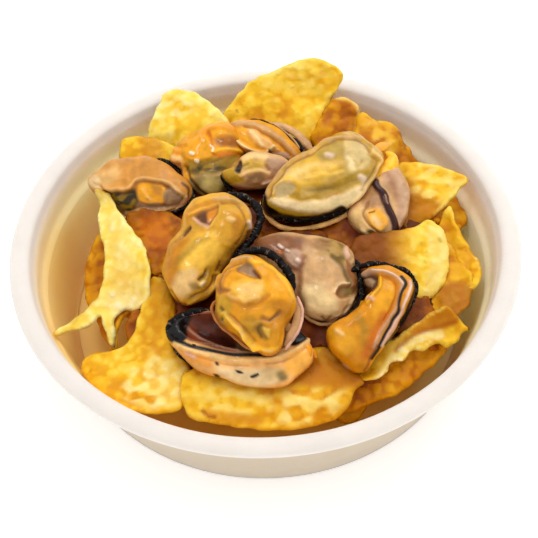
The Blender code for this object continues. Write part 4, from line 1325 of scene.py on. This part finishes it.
musselSmall = {
    "name": "mussel_small", "at": (-1.5, 23, 42), "lean": (0, 0.6), "rise": 5, "sink": 6,
    "base": "deepBeige", "under": "black", "spine": [(-4, 0), (5, 0)],
    "outline": [(-11, -1), (-7, 1), (-5, 4), (-1, 6), (5, 5), (10, 3), (11, 0), (8, -3), (4, -5), (-2, -6),
        (-7, -5)],
    "marks": {
        "yellowTip": area("oliveYellow", [(220, 176), (230, 167), (240, 170), (244, 181), (232, 185)]),
        "paleTop": line("palePeach", 7, [(244, 159), (256, 156.5), (266, 158)], rise=0.3, soft=5),
        "yellowTop": area("yellow", [(243, 162), (256, 160), (266, 165), (256, 172), (246, 170)],
            amount=0.8),
        "tan": area("greyPink", [(268, 158), (289, 164), (280, 177), (268, 180), (270, 168)], soft=6,
            amount=0.8),
        "darkHole": area("blackBrown", [(234, 162), (241, 161), (241, 171), (236, 172)], rise=-0.7, soft=3),
        "holeTail": line("darkOlive", 3, [(240, 166), (248, 164)], soft=3, amount=0.6),
        "spot": line("brown", 3.5, [(267, 166), (268.5, 169)], rise=-0.4, soft=4),
        "oliveStreak": area("olive", [(246, 166), (258, 163), (264, 168), (256, 171), (247, 171)], soft=6,
            amount=0.5),
        "lowGrey": line("greyBrown", 6, [(250, 179), (258, 177), (264, 180)], rise=-0.4, soft=5,
            amount=0.85),
        "lowDark": line("brown", 2.4, [(248, 181), (255, 183), (262, 182)], soft=3, amount=0.7),
        "foldPale": line("palePeach", 4, [(241, 176), (249, 172), (258, 171), (268, 174)], rise=0.4, soft=5,
            amount=0.6),
        "whiteEdge": line("palePink", 2.4, [(264, 183.5), (274, 180)], rise=0.4, soft=2),
        "lowLip": line("redBrown", 4, [(234, 187), (250, 190), (265, 189), (276, 183)], rise=0.2, soft=3),
        "leftEdge": line("black", 2.2, [(221, 174), (225, 181), (233, 187)]),
    },
    "strips": [
        frill(1.1, 1.4, -0.5, [(221, 175), (226, 185), (233, 192)]),
        frill(3.3, 2.8, -3.6, [(227, 190), (234, 197), (243, 202), (254, 204), (266, 201), (278, 194)]),
        frill(2.7, 2.4, -6.0, [(228, 197), (237, 206), (250, 212), (266, 211)]),
    ],
}

musselOrange = {
    "name": "mussel_orange", "at": (29.5, -36, 36), "lean": (0.25, 0.45), "rise": 6, "sink": 7,
    "base": (216, 138, 4), "under": "redBrown", "spine": [(4, 9), (-5, -6)],
    "outline": [(-2, 14), (2, 16.5), (7, 17), (11, 15.5), (14.5, 12.5), (14.5, 8), (12, 3), (8, -3), (3, -9),
        (-1.5, -14.5), (-5, -15.5), (-8, -13.5), (-12, -8), (-13, -3.5), (-11, -0.5), (-7, 1.6), (-3.2, 4.4),
        (-1.4, 7.5), (-2, 11)],
    "marks": {
        # painted light and highlights on the lit parts of the body
        "litPatch": area("brightGold", [(381, 281), (391, 283), (396, 295), (387, 309), (377, 320), (371, 308),
            (377, 294)], soft=7, amount=0.3),
        "lowLitPatch": area("brightGold", [(328, 330), (342, 327), (356, 335), (352, 350), (344, 358),
            (334, 346)], soft=8, amount=0.35),
        "oliveShade": line("olive", 7, [(358, 316), (364, 330), (364, 350)], soft=7, amount=0.6),
        "sideShade": line("deepOrange", 8, [(384, 314), (374, 334), (366, 354)], soft=6),
        "hollow": area("darkBrown", [(352, 284), (358, 276), (368, 273), (378, 275), (379, 284), (372, 292),
            (366, 300), (358, 298)], rise=-1.6, soft=3),
        "muscle": area("greyBrown", [(360, 281), (368, 277), (376, 280), (372, 286), (363, 286)], rise=0.3,
            soft=3, amount=0.85),
        "hollowEdge": line("brightGold", 2.6, [(380, 278), (380, 287), (373, 294), (367, 302)], rise=0.9,
            soft=2),
        "beigeLip": line("greyPink", 3.6, [(355, 280), (362, 274), (373, 271), (385, 272), (395, 276),
            (401, 284), (400, 295), (396, 306), (390, 317), (382, 330), (373, 348)], rise=0.7),
        "lipShine": line("palePink", 1.6, [(372, 270.5), (386, 271.5), (396, 276), (402, 284)], rise=0.2),
        "lipShade": line("deepOrange", 2, [(382, 276), (391, 279), (396, 286), (396, 295), (391, 307),
            (384, 320)], rise=-0.5),
        "innerBlack": line("black", 3.6, [(402, 277), (405, 284), (401, 294), (398.5, 303), (397, 313),
            (389, 328), (380, 344), (372, 358)], rise=0.1, soft=1.6, amount=1),
        "whiteFlap": line("pink", 3.2, [(410, 282), (409, 293), (404.5, 303), (399.5, 315), (391, 330),
            (382, 345)], rise=0.5, soft=1.6, amount=1),
        "whiteShine": line("palePink", 1.8, [(410, 285), (408.5, 295), (403, 306)], soft=1.4),
        "outerBlack": line("black", 3, [(413, 281), (414, 292), (408, 308), (398, 326), (386, 344)],
            soft=1.6, amount=1),
        # painted highlights
        "highlightOne": line("pink", 4, [(369, 297), (373, 299)], rise=0.4, soft=3, amount=0.7),
        "highlightTwo": line("palePeach", 4, [(337, 331), (343, 335)], rise=0.5, soft=4),
        "lowSpot": line("greyPink", 4, [(343, 365), (347, 369)], soft=3),
        "lowEdge": line("redBrown", 2.4, [(364, 370), (370, 358), (376, 346)], soft=2, amount=0.7),
    },
    "strips": [
        frill(1.7, 1.8, 0.4, [(361, 273), (360.5, 284), (362, 295), (357, 308), (347, 317), (334, 323)]),
        frill(1.8, 1.9, -0.5, [(350, 272), (361, 266.5), (376, 264), (391, 267), (403, 270.5), (411.5, 277),
            (415.5, 287), (413, 298), (406, 313), (395, 331)]),
    ],
}

musselBoat = {
    "name": "mussel_boat", "at": (-9, -43, 34.5), "lean": (0, 0.35), "rise": 3, "sink": 9,
    "hollow": {"at": (-1, 5), "size": (17, 5.5), "turn": -0.2, "depth": 5.5},
    "base": "peach", "under": "peach", "spine": [(-11, 5), (12, -1)],
    "outline": [(-21, 6), (-19, 10), (-14, 12.5), (-7, 12.5), (2, 12), (10, 10), (17, 6), (21, 1),
        (21.5, -4), (17, -8), (13, -11), (6, -11.5), (-4, -8.5), (-12, -5), (-18, 1)],
    "marks": {
        "cavity": area("redBrown", [(172, 326), (184, 314), (212, 312), (240, 320), (266, 340), (266, 354),
            (240, 353), (215, 349), (195, 342), (180, 335)], soft=3),
        "cavityTop": area("plum", [(188, 318), (206, 316), (222, 326), (236, 340), (216, 336), (196, 328)],
            amount=0.9),
        "cavityDeep": area("redBlack", [(196, 330), (214, 334), (234, 342), (240, 349), (218, 347),
            (202, 341)], soft=6, amount=0.85),
        "ridge": line("pink", 1.6, [(187, 326), (193, 333), (206, 341), (224, 347), (238, 350)], rise=0.4,
            amount=0.6),
        "mauve": area("greyBrown", [(238, 341), (250, 343), (262, 352), (247, 354), (236, 351)], soft=3,
            amount=0.9),
        "blackEnd": area("black", [(164, 336), (168, 322), (181, 313), (190, 316), (188, 326), (186, 338),
            (174, 344)], soft=3),
        "frontBlack": line("black", 4, [(172, 338), (190, 345), (212, 351), (240, 355), (266, 355)], soft=2,
            amount=1),
        "rightLip": line("palePeach", 4.4, [(262, 359), (276, 356.5), (291, 351.5), (303, 344), (309, 338)],
            rise=0.8),
        "rightLipLine": line("brown", 1.2, [(266, 363), (280, 361), (296, 355), (307, 347)], rise=-0.3,
            amount=0.6),
        "frontLip": line("palePeach", 4.6, [(174, 344), (194, 351), (214, 357), (238, 360.5), (262, 359)],
            rise=0.6, soft=2),
        "frontLipLine": line("warmBrown", 1.3, [(186, 353), (204, 359), (226, 364), (250, 366)], rise=-0.2,
            amount=0.5),
        "frontPale": area("cream", [(216, 367), (245, 369), (278, 368), (292, 374), (262, 388), (232, 383)],
            soft=8, amount=0.9),
        "orangePatch": area("orange", [(182, 351), (196, 353), (210, 359), (210, 368), (196, 364),
            (186, 358)], amount=0.6),
        "pinkPatch": line("pink", 4, [(187, 353), (195, 357)], rise=0.3, soft=3, amount=0.9),
        "dashOne": area("blackBrown", [(215, 362), (218, 362), (219, 365), (216, 365)], soft=2),
        "dashTwo": area("blackBrown", [(236, 370), (241, 371), (244, 374), (239, 374)], soft=2),
        "dashThree": area("blackBrown", [(214, 374), (219, 375), (220, 378), (216, 378)], soft=2),
        "dashFive": area("blackBrown", [(250, 376), (257, 373), (258, 375), (252, 378)], soft=1.6),
        "smudge": area("darkOlive", [(277, 373), (286, 371), (288, 379), (280, 382)], soft=6, amount=0.8),
        "midOlive": area("olive", [(262, 370), (280, 366), (286, 372), (270, 380)], soft=8, amount=0.4),
        "orangeEnd": area("paleOrange", [(288, 357), (304, 350), (314, 360), (300, 374), (286, 374)], soft=8,
            amount=0.8),
        # painted shadow in a gap between the pieces
        "blackGap": area("black", [(287, 333), (298, 330), (306, 336), (304, 342), (291, 346)], soft=3),
    },
    "strips": [
        frill(2.7, 2.4, 0.4, [(169.5, 338), (169.5, 329), (175, 321), (186, 315), (199, 312), (214, 313)]),
        frill(0.9, 1.2, 1.8, [(170, 334), (181, 340.5), (197, 346.5), (215, 351.5), (235, 354.5), (252, 355),
            (268, 353.5)]),
        frill(1.8, 1.3, -2.6, [(173, 344), (179, 353), (189, 361), (200, 367), (213, 372)]),
        lip("greyPink", 0.8, 0.8, -1.6, [(181, 350), (189, 356), (199, 364), (211, 371)]),
        lip("orange", 2.8, 2.2, -0.4, [(296, 354), (305, 351), (313, 353), (317, 358)]),
        lip("orange", 2.2, 1.8, 0.8, [(302, 341), (308, 349), (310, 358)]),
    ],
}

musselHooded = {
    "name": "mussel_hooded", "at": (1.5, 39, 40), "lean": (0.1, 0.3), "rise": 5, "sink": 7,
    "base": "gold", "under": "redBrown", "spine": [(-5, 1), (5, -3)],
    "outline": [(-13, 2), (-10, 6), (-4, 7), (3, 5), (9, -1), (12, -6), (8, -9), (1, -9), (-6, -7),
        (-11, -3)],
    "marks": {
        "orangeSide": area("amber", [(222, 130), (236, 128), (247, 129), (250, 138), (258, 147), (266, 151),
            (252, 151), (238, 146), (226, 138)]),
        "shadeSide": line("deepOrange", 4, [(228, 138), (240, 147), (252, 152)], soft=4),
        "creamBand": area("peach", [(247, 129), (256, 130), (264, 137), (276, 146), (279, 151), (268, 151),
            (257, 144), (250, 138)], rise=0.7),
        "creamShine": line("paleCream", 3, [(251, 132), (257, 138), (262, 145)], soft=3),
        "upperLip": line("shell", 5, [(230, 124), (245, 123), (258, 125.5), (270, 131.5), (281, 139.5),
            (290, 148.5), (296, 158)], rise=0.4),
        "lipLine": line("brown", 1.6, [(244, 127), (259, 130), (271, 137), (282, 146), (289, 156)],
            rise=-0.4),
        "lowShade": area("redBrown", [(236, 148), (252, 155), (268, 157), (264, 162), (244, 158)], rise=-0.7,
            soft=3),
        "lowerLip": line("paleCream", 2.4, [(227, 134), (239, 143), (250, 149.5), (262, 153), (270, 151.5),
            (275, 146)], rise=1.0),
        "muscle": area("greyPink", [(273, 154), (281, 152), (289, 155), (288, 161), (281, 162), (274, 159)],
            rise=0.2, soft=2),
        "muscleDark": line("blackBrown", 2.4, [(270, 151), (272, 157), (271, 161)], rise=-0.5),
    },
    "strips": [
        frill(0.8, 0.9, -0.2, [(250, 119.5), (264, 121.5), (278, 129), (290, 139.5), (298, 150), (301, 160)],
            tone="redBlack"),
        lip("shell", 0.8, 0.9, -0.6, [(262, 121), (277, 126.5), (291, 137.5), (300, 149)]),
        frill(2.6, 2.0, -2.0, [(279, 131), (290, 139), (299, 147), (306, 154), (312, 158)]),
        lip("shell", 2.8, 1.2, -2.6, [(268, 124), (282, 126.5), (295, 132.5), (305, 142), (313, 152)]),
    ],
}

musselFrilled = {
    "name": "mussel_frilled", "at": (-18.5, 32.5, 38), "lean": (-0.15, 0.35), "rise": 6, "sink": 7,
    "base": "amber", "under": "brown", "spine": [(-2, -6), (5, 6)],
    "outline": [(-11, 1), (-9, 5), (-6, 9), (0, 11), (7, 13), (12, 10), (14, 5), (13, 0), (12, -6), (9, -11),
        (4, -13), (-1, -12), (-6, -8), (-7, -3)],
    "marks": {
        # painted shade in the fold under the hooded mussel's lip
        "fold": area("foldShadow", [(214, 139), (228, 134), (241, 139), (246, 148), (232, 148), (220, 147)],
            rise=-0.7, soft=9, amount=0.8),
        "topOrange": line("orange", 5, [(200, 136), (210, 129), (222, 127), (234, 129)], rise=0.6, soft=4),
        "lumpTop": line("gold", 8, [(182, 144), (186, 143)], rise=1.1, soft=4),
        "lumpMiddle": line("orange", 7, [(176, 151), (179, 153)], rise=0.9, soft=4),
        "lumpPale": line("palePeach", 7, [(174, 159), (179, 160)], rise=1.0, soft=4),
        "lumpCream": line("cream", 6, [(174, 167), (178, 169)], rise=0.7, soft=3),
        "mass": area("amber", [(186, 143), (200, 136), (211, 140), (215, 150), (211, 158), (200, 161),
            (189, 160), (183, 152)], rise=0.8),
        "massCrease": line("deepOrange", 2.4, [(208, 133), (211, 141), (214, 150)], rise=-0.6, soft=3),
        "ledgeShade": area("deepOrange", [(214, 153), (232, 151), (247, 154), (240, 160), (220, 161)],
            amount=0.8),
        "ledge": line("brightGold", 3.6, [(214, 151), (222, 149), (233, 149), (245, 152)], rise=0.6, soft=4,
            amount=0.6),
        "yellowEdge": line("oliveYellow", 4, [(188, 161), (202, 162), (216, 158)], soft=4),
        "oliveBand": area("olive", [(186, 163), (200, 162), (213, 160), (225, 157), (238, 156), (233, 168),
            (215, 174), (200, 176), (189, 173)], rise=-0.3),
        "oliveDark": area("darkOlive", [(188, 164), (204, 164), (228, 160), (226, 170), (206, 176),
            (192, 174)], soft=7, amount=0.9, mottle=9),
        "oliveSpeck": area("deepOlive", [(192, 168), (212, 165), (222, 167), (210, 173), (196, 172)],
            amount=0.7, mottle=5),
        "belly": area("greenGrey", [(190, 178), (202, 173), (218, 174), (231, 178), (234, 188), (227, 196),
            (210, 198), (197, 193), (190, 186)], rise=0.8, soft=6),
        "bellyShine": area("paleOlive", [(202, 180), (214, 177), (222, 184), (214, 192), (204, 190)], soft=8,
            amount=0.7),
        "bellyShade": area("deepOlive", [(222, 188), (234, 182), (234, 196), (220, 199)], amount=0.85),
        "sideLip": line("peach", 2.6, [(182.5, 163), (183, 174), (187, 184), (193, 192)], rise=0.5),
        "groove": line("deepOlive", 2.6, [(187, 168), (191, 179), (197, 187), (206, 194)], rise=-0.6),
        "glintOne": line("glint", 3.4, [(191.5, 153.5), (194, 154)], rise=0.5, soft=1),
        "glintTwo": line("glint", 3, [(196, 161), (198.5, 161.5)], rise=0.5, soft=1),
        "glintThree": line("glint", 1.4, [(211, 146), (213.5, 148), (213, 151)], rise=0.3, soft=1),
    },
    "strips": [
        lip("deepBeige", 1.4, 1.5, -1.0, [(184, 164), (183.5, 176), (189, 188), (200, 197), (214, 199),
            (228, 196.5)]),
        frill(1.2, 1.6, -2.2, [(190, 190), (202, 198.5), (216, 200.5), (231, 196)]),
    ],
}

musselPeach = {
    "name": "mussel_peach", "at": (-39.5, 24, 36), "lean": (-0.15, 0.25), "rise": 6, "sink": 7,
    "base": "deepPeach", "under": "brown", "spine": [(-8, 3), (8, -1)],
    "outline": [(-17, 4), (-13, 8), (-7, 11), (1, 11), (8, 8), (13, 3), (17, -3), (15, -8), (8, -10),
        (0, -10), (-7, -8), (-14, -1)],
    "marks": {
        "topTint": area("palePeach", [(92, 182), (100, 172), (116, 166), (120, 174), (112, 184), (98, 190)],
            soft=10, amount=0.6),
        "opening": area("brown", [(103, 191), (122, 191), (133, 189), (138, 182), (150, 181), (165, 185),
            (178, 192), (185, 200), (178, 207), (160, 210), (140, 211), (125, 214), (113, 207)], rise=-1.2,
            soft=3),
        "oliveGut": area("deepOlive", [(105, 192), (122, 192), (134, 190), (138, 197), (136, 206),
            (131, 213), (123, 215), (113, 207)], soft=4),
        "oliveLight": area("olive", [(108, 194), (128, 194), (136, 202), (126, 212), (116, 204)], soft=6,
            amount=0.7, mottle=6),
        "orangeGut": area("amber", [(137, 188), (141, 183), (152, 182), (164, 187), (166, 198), (161, 205),
            (147, 205), (139, 199)], rise=0.6),
        "gutBrown": area("brown", [(152, 184), (161, 187), (162, 196), (155, 194)], amount=0.6),
        "gutShineOne": line("paleOrange", 3.4, [(142, 189), (146, 196)], rise=0.5, soft=3),
        "gutShineTwo": line("palePeach", 2.2, [(148, 197), (150, 199)], rise=0.3, soft=2),
        "lowPink": area("greyBrown", [(138, 203), (150, 203), (164, 204), (168, 209), (150, 212),
            (136, 212)], soft=4, amount=0.85),
        "muscle": area("greyBrown", [(164, 192), (169, 188), (177, 189), (182, 195), (181, 202), (175, 206),
            (167, 205), (163, 199)], rise=0.8, soft=2.4),
        "muscleSide": line("brown", 1.6, [(164, 204), (170, 208), (177, 207.5), (183, 202)], amount=0.7),
        "upperLip": line("palePeach", 3.6, [(103, 188.5), (112, 189.5), (122, 188.5), (130, 186.5),
            (136, 181.5), (147, 178.5), (160, 181), (170, 185), (179, 191), (184, 197)], rise=0.3,
            amount=0.45),
        "lipShade": line("brown", 1.8, [(132, 188), (138, 182), (149, 181), (160, 183.5), (170, 188),
            (179, 194)], rise=-0.2, amount=0.6),
        # painted shadow in the crease
        "crease": line("warmBrown", 2.2, [(95, 184), (101, 187), (104, 193)], rise=-0.6),
        "tip": area("cream", [(87, 182), (95, 174), (101, 180), (96, 190)], soft=4, amount=0.7),
        "lowLip": line("shell", 3, [(126, 214.5), (140, 212), (154, 212), (168, 209.5), (180, 205),
            (187, 198)], rise=0.5),
        "rightRim": line("darkBrown", 2.6, [(182, 183), (187.5, 190), (187.5, 197)], amount=0.85),
    },
    "strips": [
        frill(1.4, 1.6, -1.2, [(146, 216.5), (163, 215.5), (178, 211.5), (188, 205), (193.5, 196),
            (192, 187)]),
        frill(2.3, 1.8, -2.2, [(154, 160), (164, 162), (173, 166), (180, 172)]),
        lip("shell", 1.0, 1.2, -0.5, [(172, 172), (183, 181), (190, 191), (187.5, 201), (176, 208.5),
            (160, 213)]),
    ],
}

musselTucked = {
    "name": "mussel_tucked", "at": (37, 9.5, 37), "lean": (0.35, 0.4), "rise": 5, "sink": 7,
    "base": "beige", "under": "brown", "spine": [(3, 6), (0, -5)],
    "outline": [(5, 14), (9, 10), (10, 4), (9, -3), (6, -8), (1, -12), (-5, -11), (-10, -6), (-10, -1),
        (-6, 3), (-2, 9)],
    "marks": {
        "flap": area((208, 166, 130), [(382, 170), (393, 166), (401, 175), (410, 192), (409, 207),
            (403, 228), (396, 232), (397, 205), (388, 186)], soft=4),
        "flapShade": area("brown", [(384, 170), (392, 172), (398, 186), (400, 206), (394, 200), (387, 184)],
            soft=9, amount=0.6),
        "flapEdge": line("shell", 2.4, [(396, 170), (404, 181), (409, 194), (407, 208), (401, 226)],
            rise=0.3),
        "leftCream": area("palePeach", [(352, 214), (362, 205), (368, 212), (370, 228), (376, 238),
            (362, 234)], amount=0.8),
        "oval": area("paleOrange", [(367, 211), (375, 207), (384, 213), (387, 224), (381, 231), (372, 227)],
            rise=0.5, soft=4),
        "ovalShine": line("cream", 5, [(374, 217), (379, 224)], soft=5, amount=0.7),
        "seam": line("brown", 1.8, [(367, 203), (363.5, 213), (369, 224), (378, 233), (388, 240)],
            rise=-0.6),
        "tick": line("darkBrown", 1.8, [(369, 212.5), (374, 211)], soft=1.2),
        "topShade": area("brown", [(362, 198), (376, 188), (384, 204), (376, 208), (364, 207)], soft=6,
            amount=0.55),
        "lowHollow": area("darkOlive", [(366, 233), (371, 231), (377, 236), (375, 241), (368, 240)],
            rise=-0.6, soft=2.4, amount=0.85),
        "lowShine": line("cream", 2.4, [(361, 230), (367, 236)], rise=0.5),
        "band": line("redBlack", 7.5, [(376, 183), (382, 194), (388, 207), (393, 220), (396, 233)], rise=0.9,
            soft=2, amount=1),
        "bandGlint": line("greyPink", 1.3, [(384, 196), (388, 203)], soft=1.2, amount=0.7),
        "bandEdge": line("shell", 1.3, [(382, 184), (389, 198), (395, 212), (399, 226)], rise=0.4, soft=1.2),
        "lowCurl": line("redBlack", 6, [(372, 240), (379, 243), (388, 242), (395, 235)], rise=0.5, soft=2,
            amount=1),
        "curlShine": line("greyPink", 1.4, [(377, 239), (385, 238.5), (391, 235)], soft=1.2),
    },
    "strips": [],
}

# from the top of the pile down
mussels = [
    musselGolden, musselOlive, musselMustard, musselBeige, musselSmall, musselOrange, musselBoat,
    musselHooded, musselFrilled, musselPeach, musselTucked,
]


def hollowDepth(hollow, spots):
    if not hollow:
        return 0
    away = spots - np.array(hollow["at"])
    turn = -hollow["turn"]
    x = away[..., 0] * math.cos(turn) - away[..., 1] * math.sin(turn)
    y = away[..., 0] * math.sin(turn) + away[..., 1] * math.cos(turn)
    out = np.hypot(x / hollow["size"][0], y / hollow["size"][1])
    return hollow["depth"] * np.clip(1 - out ** 3, 0, 1)


def musselBody(spec, seed):
    sides = musselStyle["segments"]
    edge = evenOutline(spec["outline"], sides)
    spine = np.array(spec["spine"], float)
    middle = spine.mean(0)
    roots = lineDistance(spine, edge)[1]
    top = np.linspace(0, math.pi / 2, musselStyle["topRings"] + 1)[1:]
    bottom = np.linspace(math.pi / 2, math.pi, musselStyle["bottomRings"] + 1)[1:-1]
    turns = np.concatenate((top, bottom))
    # rings that shrink from the outline to the spine, and at last to its middle
    out = np.minimum(1, np.sin(turns))[:, None, None]
    root = middle + (roots - middle) * (1 - (1 - out) ** 2)
    flat = root + (edge - roots) * out
    full = musselStyle["fullness"]
    dome = np.clip(1 - out[:, :, 0] ** full, 0, 1) ** (1 / full)
    above = (turns <= math.pi / 2)[:, None]
    hollow = spec.get("hollow")
    height = np.where(above, spec["rise"] * dome - hollowDepth(hollow, flat), -spec["sink"] * dome)
    right, away, normal = planeAxes(spec["lean"])
    at = np.array(spec["at"])
    grid = at + flat[..., :1] * right + flat[..., 1:] * away + height[..., None] * normal
    pole = at + middle[0] * right + middle[1] * away
    poles = [pole + (spec["rise"] - hollowDepth(hollow, middle)) * normal, pole - spec["sink"] * normal]
    base = np.concatenate((grid.reshape(-1, 3), poles))
    outward = np.concatenate((gridNormals(grid).reshape(-1, 3), [normal, -normal]))
    facing = smoothStep((outward @ viewBack + 0.1) / 0.3)
    # marks are found where the raised surface shows them, so the rise is added in two rounds
    lump = 0
    for k, (strength, size) in enumerate(musselStyle["lumps"]):
        lump += strength * lumps(base, size, seed + k)
    move = lump
    waver = np.stack((lumps(base, 3, seed + 2), lumps(base, 3, seed + 3)), 1) * musselStyle["waver"]
    for share in (0.5, 1):
        pixels = photoPixels(base + outward * move[:, None]) + waver
        move = lump + share * markRise(spec["marks"], pixels) * facing
    points = base + outward * move[:, None]
    colors = paint(musselColors(spec, points, normal), spec["marks"], pixels, facing)
    return {"points": points, "faces": closedFaces(len(turns), sides), "colors": colors}


def musselColors(spec, points, normal):
    # the meat's own colour, with soft blotches, and a deeper colour below: painted shade on the lower sides,
    # except on the olive one, where it is its peach lip
    base, under = linear(spec["base"]), linear(spec["under"])
    height = (points - np.array(spec["at"])) @ normal
    low = smoothStep((1.6 - height) / musselStyle["shadeBelowDepth"])[:, None]
    blotch = 1
    for k, (strength, size) in enumerate(musselStyle["blotches"]):
        blotch += strength * lumps(points, size, 61 + k)[:, None]
    return (base * (1 - low) + under * low) * blotch


def strip(spec, entry, seed):
    # a lip or a black frill: an oval tube along its path, wrinkled where it is a frill
    style = musselStyle
    path = onPlane(entry["path"], spec["at"], spec["lean"], entry["lift"])
    curve = smoothLine(path, False, 8)
    length = np.linalg.norm(np.diff(curve, axis=0), axis=1).sum()
    count = max(8, int(length / style["stripStep"]))
    curve = evenPoints(curve, False, count)
    along = np.gradient(curve, axis=0)
    along /= np.linalg.norm(along, axis=1, keepdims=True)
    normal = planeAxes(spec["lean"])[2]
    side = np.cross(along, normal)
    side /= np.linalg.norm(side, axis=1, keepdims=True)
    spot = np.linspace(0, 1, count)
    taper = np.clip(np.minimum(spot, 1 - spot) * length / (entry["width"] * 1.1), 0.03, 1) ** 0.5
    sides = style["stripSides"]
    turns = np.linspace(0, math.tau, sides, endpoint=False)
    wave = np.ones((count, 1))
    shift = np.zeros(count)
    ridges = np.zeros((count, sides))
    if entry["frill"]:
        steps = (spot * length)[:, None]
        for k, (strength, size) in enumerate(style["frillWaves"]):
            wave += strength * lumps(steps, size, seed + k)[:, None]
        shift = style["frillShift"][0] * lumps(steps, style["frillShift"][1], seed + 2)
        phase = steps * math.tau / style["ridgeEvery"] + 5 * lumps(steps, 2.5, seed + 3)[:, None]
        ridges = np.sin(phase + 2.2 * np.sin(2 * turns + 6 * lumps(steps, 2, seed + 4)[:, None]))
    wide = entry["width"] / 2 * taper[:, None] * (wave + style["ridgeHeight"] * ridges)
    thick = entry["thick"] / 2 * taper[:, None] * (2 - wave + style["ridgeHeight"] * ridges)
    across = (np.cos(turns) * wide)[..., None] * side[:, None, :]
    upward = (np.sin(turns) * thick)[..., None] * normal
    grid = curve[:, None, :] + across + upward + (shift * taper)[:, None, None] * normal
    points = np.concatenate((grid.reshape(-1, 3), [curve[0], curve[-1]]))
    rough = style["frillRough"] if entry["frill"] else style["lipRough"]
    rough = rough * lumps(points[:-2], style["roughSize"], seed + 5)
    points[:-2] += gridNormals(grid).reshape(-1, 3) * rough[:, None]
    faces = [face[::-1] for face in closedFaces(count, sides)]
    shades, size = style["stripShades"]
    colors = linear(entry["tone"]) * (1 + shades * lumps(points, size, seed + 6)[:, None])
    if entry["frill"]:
        # small wet glints on the ridges
        crest = smoothStep(np.concatenate((ridges.ravel(), (0, 0))) * 1.5 - 0.5)
        wet = (style["wetShare"] * crest * smoothStep(lumps(points, 1.0, seed + 8) * 3 - 1.2))[:, None]
        colors = colors * (1 - wet) + linear("wetGlint") * wet
    return {"points": points, "faces": faces, "colors": colors, "material": int(entry["frill"])}


def restUnder(points, uppers):
    # where a piece would run through one above it, it is pressed down under that one
    up = Vector((0, 0, 1))
    for upper in uppers:
        near = np.all((points > upper["low"]) & (points < upper["high"]), axis=1)
        for k in np.flatnonzero(near):
            spot = Vector(points[k])
            over = upper["tree"].ray_cast(spot, up)
            if over[0] is None or over[1].z <= 0:
                continue
            below = upper["tree"].ray_cast(spot, -up)
            if below[0] is not None:
                points[k, 2] = below[0].z - musselStyle["restGap"]
    return points


def makeMussels(meat, frilled):
    done, bodies = [], []
    for k, spec in enumerate(mussels):
        body = musselBody(spec, 500 + 10 * k)
        free = body["points"].copy()
        body["points"] = restUnder(body["points"], done)
        parts = [body] + [strip(spec, entry, 700 + 10 * k + j) for j, entry in enumerate(spec["strips"])]
        addPiece(spec["name"] + "_meat", parts, [meat, frilled], spec["name"])
        tree = BVHTree.FromPolygons(free.tolist(), body["faces"])
        done.append({"tree": tree, "low": free.min(0), "high": free.max(0)})
        bodies.append(body)
    print("mussels:", len(done))
    return bodies


# the floor and the lights

studio = {
    "floorTone": (250, 250, 250),
    "floorReach": 4,
    "floorGlow": 0.34,
    "world": 0.88,
    "key": {"at": (-0.12, 0.14, 0.78), "size": 0.14, "power": 1.0},
    "fill": {"at": (0.26, 0.36, 0.68), "size": 0.5, "power": 2.0},
    "aim": (0, 0, 0.03),
}


def makeFloor():
    mesh = bpy.data.meshes.new("floor")
    reach = studio["floorReach"]
    corners = [(-reach, -reach, 0), (reach, -reach, 0), (reach, reach, 0), (-reach, reach, 0)]
    mesh.from_pydata(corners, [], [(0, 1, 2, 3)])
    material = bpy.data.materials.new("floor")
    material.use_nodes = True
    shader = material.node_tree.nodes["Principled BSDF"]
    shader.inputs["Base Color"].default_value = (*linear(studio["floorTone"]), 1)
    shader.inputs["Roughness"].default_value = 0.9
    shader.inputs["Specular IOR Level"].default_value = 0
    shader.inputs["Emission Color"].default_value = (1, 1, 1, 1)
    shader.inputs["Emission Strength"].default_value = studio["floorGlow"]
    mesh.materials.append(material)
    floor = bpy.data.objects.new("floor", mesh)
    bpy.context.scene.collection.objects.link(floor)


def makeLight(name, spec):
    light = bpy.data.lights.new(name, "AREA")
    light.size = spec["size"]
    light.energy = spec["power"]
    obj = bpy.data.objects.new(name, light)
    bpy.context.scene.collection.objects.link(obj)
    obj.location = spec["at"]
    aim = Vector(studio["aim"]) - Vector(spec["at"])
    obj.rotation_euler = aim.to_track_quat("-Z", "Y").to_euler()


def makeStudio():
    makeFloor()
    for name in ("key", "fill"):
        makeLight(name, studio[name])
    world = bpy.data.worlds.new("world")
    world.use_nodes = True
    background = world.node_tree.nodes["Background"]
    background.inputs["Color"].default_value = (1, 1, 1, 1)
    background.inputs["Strength"].default_value = studio["world"]
    bpy.context.scene.world = world
    bpy.context.scene.view_settings.view_transform = "Standard"
    bpy.context.scene.view_settings.look = "None"
    print("floor and lights")


# everything is made here, from the camera to the crisps

makeCamera()
makeStudio()
makeBowl(softMaterial("bowl_fibre", fibreLook))
bodies = makeMussels(softMaterial("mussel_meat", meatLook), softMaterial("mussel_frill", frillLook))
makeCrisps(crispMaterial(), bodies)
